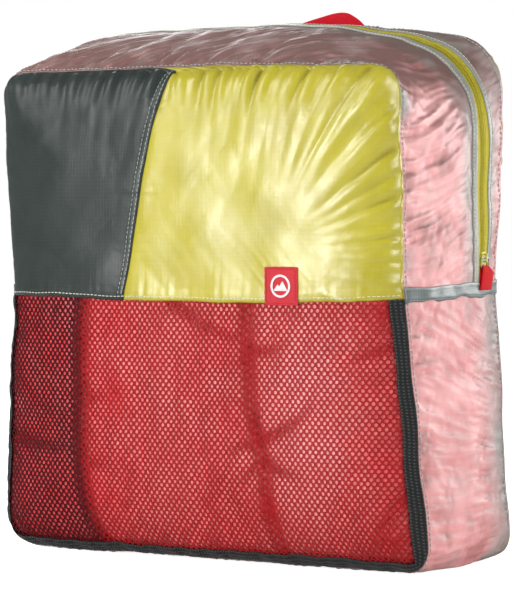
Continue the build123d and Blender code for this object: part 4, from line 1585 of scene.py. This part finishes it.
facing_thread = (thread_white_look, "binding_grey")
zip_row(29.7, 1.1, "sack", "stitches_facing_front", *facing_thread, 0.4, 2.8, 1.2)
zip_row(60.6, 1.2, "back_flap", "stitches_facing_rear", *facing_thread, 0.34, 2.8, 1.2)
zip_row(42.0, 0.15, "sack", "stitches_tape_front", coil_look, "zipper_lime", 0.3)
zip_row(50.0, 0.15, "back_flap", "stitches_tape_rear", coil_look, "zipper_lime", 0.3)
hem_parts = []
for first, sign in ((N_COL, 1), (2 * N_COL + 2 * N_ROW, -1)):
    rows = np.arange(2, N_DEEP - 1, 1.0)
    climb = HEM_CLIMB * (fine_depths[2 : N_DEEP - 1] + SEAM_Y) / (2 * SEAM_Y)
    columns = first + sign * (ROW_HINGE - 4.9 + climb / 2.3)
    hem_parts += stitches(*row_of(gusset, gusset_out, rows, columns, 1.7, True), 2.8, 1.3, 0.32)
sew("stitches_hems", "sack", hem_parts, "binding_grey", thread_look)
label_edge = 15.6
corner_walk = np.array([(-1, -1), (1, -1), (1, 1), (-1, 1), (-1, -1)]) * label_edge
label_parts = []
for (x0, z0), (x1, z1) in zip(corner_walk, corner_walk[1:]):
    t = np.linspace(0.03, 0.97, 20)
    line = over_label(x0 + (x1 - x0) * t, z0 + (z1 - z0) * t, 1.35)
    label_parts += stitches(line, np.tile([0.0, -1, 0], (20, 1)), 1.9, 0.8, 0.24)
sew("stitches_label", "sack", label_parts, "thread_red", thread_red_look)

# ---------------------------------------------------------------- the red sleeping bag inside
def filling():
    """One stuffed body under the cloth: tight to the mesh, with valleys between its baffles."""
    final = np.zeros((n_points, 3))
    final[front_index], final[back_index] = front[::FINE, ::FINE], back[::FINE, ::FINE]
    final[gusset_index[1:-1]] = gusset[::FINE, ::FINE][1:-1]
    n = skin_normals(smoothed(final, 4))
    faces_front = np.clip(-n[:, 1] * 1.4 - 0.2, 0, 1) * (final[:, 2] < MESH_TOP + 14)
    faces_front *= np.clip((final[:, 1] + SEAM_Y) / -8, 0, 1)
    gap = between(4.6, 1.6, faces_front)
    inner = smoothed(final, 10) - n * gap[:, None]
    inner -= n * np.maximum(gap - ((final - inner) * n).sum(1), 0)[:, None]
    x, _, z = inner.T
    frontness = np.clip(-n[:, 1] * 1.4 - 0.2, 0, 1) * (z < MESH_TOP + 20)

    def valley(line_x, wide, deep):
        near = abs(x - np.interp(z, VALLEY_Z, line_x)) / wide
        ends = np.clip((z - VALLEY_Z[0] + 20) / 30, 0, 1) * np.clip((VALLEY_Z[-1] + 20 - z) / 30, 0, 1)
        return deep * np.exp(-(near**2)) * ends

    hollows = valley(LEFT_VALLEY_X, 6, 8) + valley(RIGHT_VALLEY_X, 5, 7)
    hollows += 3.5 * crease_depth(x, z, 4)
    behind = np.clip(n[:, 1] * 1.4 - 0.2, 0, 1)
    bands = 5.0 * np.exp(-(((z % 95 - 47) / 9) ** 2)) * np.maximum(behind, np.clip(n[:, 2], 0, 1))
    rumple = lumps(inner, 60, 95, 3) * 1.2 + lumps(inner, 22, 96, 2) * 0.5
    drop = hollows * frontness + bands + (rumple + 1.2) * 0.8 * (1 - frontness)
    drop = np.maximum(drop, 0)
    inner = inner - n * drop[:, None]
    inner[:, 2] = np.maximum(inner[:, 2], 5.5)
    # pale: painted sheen, dimmed by painted shade on the shaded baffle; valley: painted shade in the valleys, the
    # creases and on that baffle
    pale = np.where(frontness > 0.1, paleness(x, z), 0.25) + 0.1 * lumps(inner, 50, 97, 2)
    shaded = left_of_valley(x, z) * frontness
    pale = np.clip(pale * (1 - 0.4 * shaded), 0, 1)
    extra = {"valley": np.clip(hollows / 9, 0, 1) * frontness * 0.7 + shaded * 0.42, "pale": pale}
    piece = solid("sleeping_bag_shell", inner, skin_quads, "sleeping_bag_red", filling_look(), extra)
    belongs(piece, "sack", "packed_sleeping_bag")
    return piece


sleeping_bag = filling()


# ---------------------------------------------------------------- studio
WORLD_LIGHT, FLOOR_GLOW = 0.26, 0.9


def studio():
    mesh = bpy.data.meshes.new("floor")
    half = 8.0
    mesh.from_pydata([(-half, -half, 0), (half, -half, 0), (half, half, 0), (-half, half, 0)], [], [(0, 1, 2, 3)])
    floor = link(bpy.data.objects.new("floor", mesh))
    look, tree, shader = new_look("floor_look", Roughness=0.9, Specular_IOR_Level=0.2)
    shader.inputs["Base Color"].default_value = (0.8, 0.8, 0.8, 1)
    shader.inputs["Emission Color"].default_value = (1, 1, 1, 1)
    seen = add_node(tree, "ShaderNodeLightPath").outputs["Is Camera Ray"]
    tree.links.new(calc(tree, "MULTIPLY", seen, FLOOR_GLOW), shader.inputs["Emission Strength"])
    mesh.materials.append(look)
    world = bpy.data.worlds.new("studio")
    bpy.context.scene.world = world
    world.use_nodes = True
    tree = world.node_tree
    background = tree.nodes["Background"]
    background.inputs[0].default_value = (1, 1, 1, 1)
    seen = add_node(tree, "ShaderNodeLightPath").outputs["Is Camera Ray"]
    tree.links.new(soft_step(tree, seen, 0.0, 1.0, WORLD_LIGHT, 1.0), background.inputs[1])
    for name, where, size, tall, power in (
        ("key", (-0.8, -2.17, 0.6), 0.34, 1.1, 33),
        ("fill", (-1.9, -1.7, 2.1), 1.2, 1.2, 27),
        ("side", (2.3, -0.5, 1.1), 0.8, 1.2, 28),
        ("rear", (1.5, 2.2, 0.8), 0.9, 1.1, 26),
        ("rear_left", (-1.8, 1.9, 1.3), 1.0, 1.0, 20),
    ):
        data = bpy.data.lights.new(name, "AREA")
        data.shape = "RECTANGLE"
        data.energy, data.size, data.size_y = power, size, tall
        lamp = link(bpy.data.objects.new(name, data))
        lamp.location = where
        lamp.rotation_mode = "QUATERNION"
        lamp.rotation_quaternion = (Vector((0, 0, 0.25)) - Vector(where)).to_track_quat("-Z", "Y")


studio()
bpy.context.scene.view_settings.view_transform = "Standard"
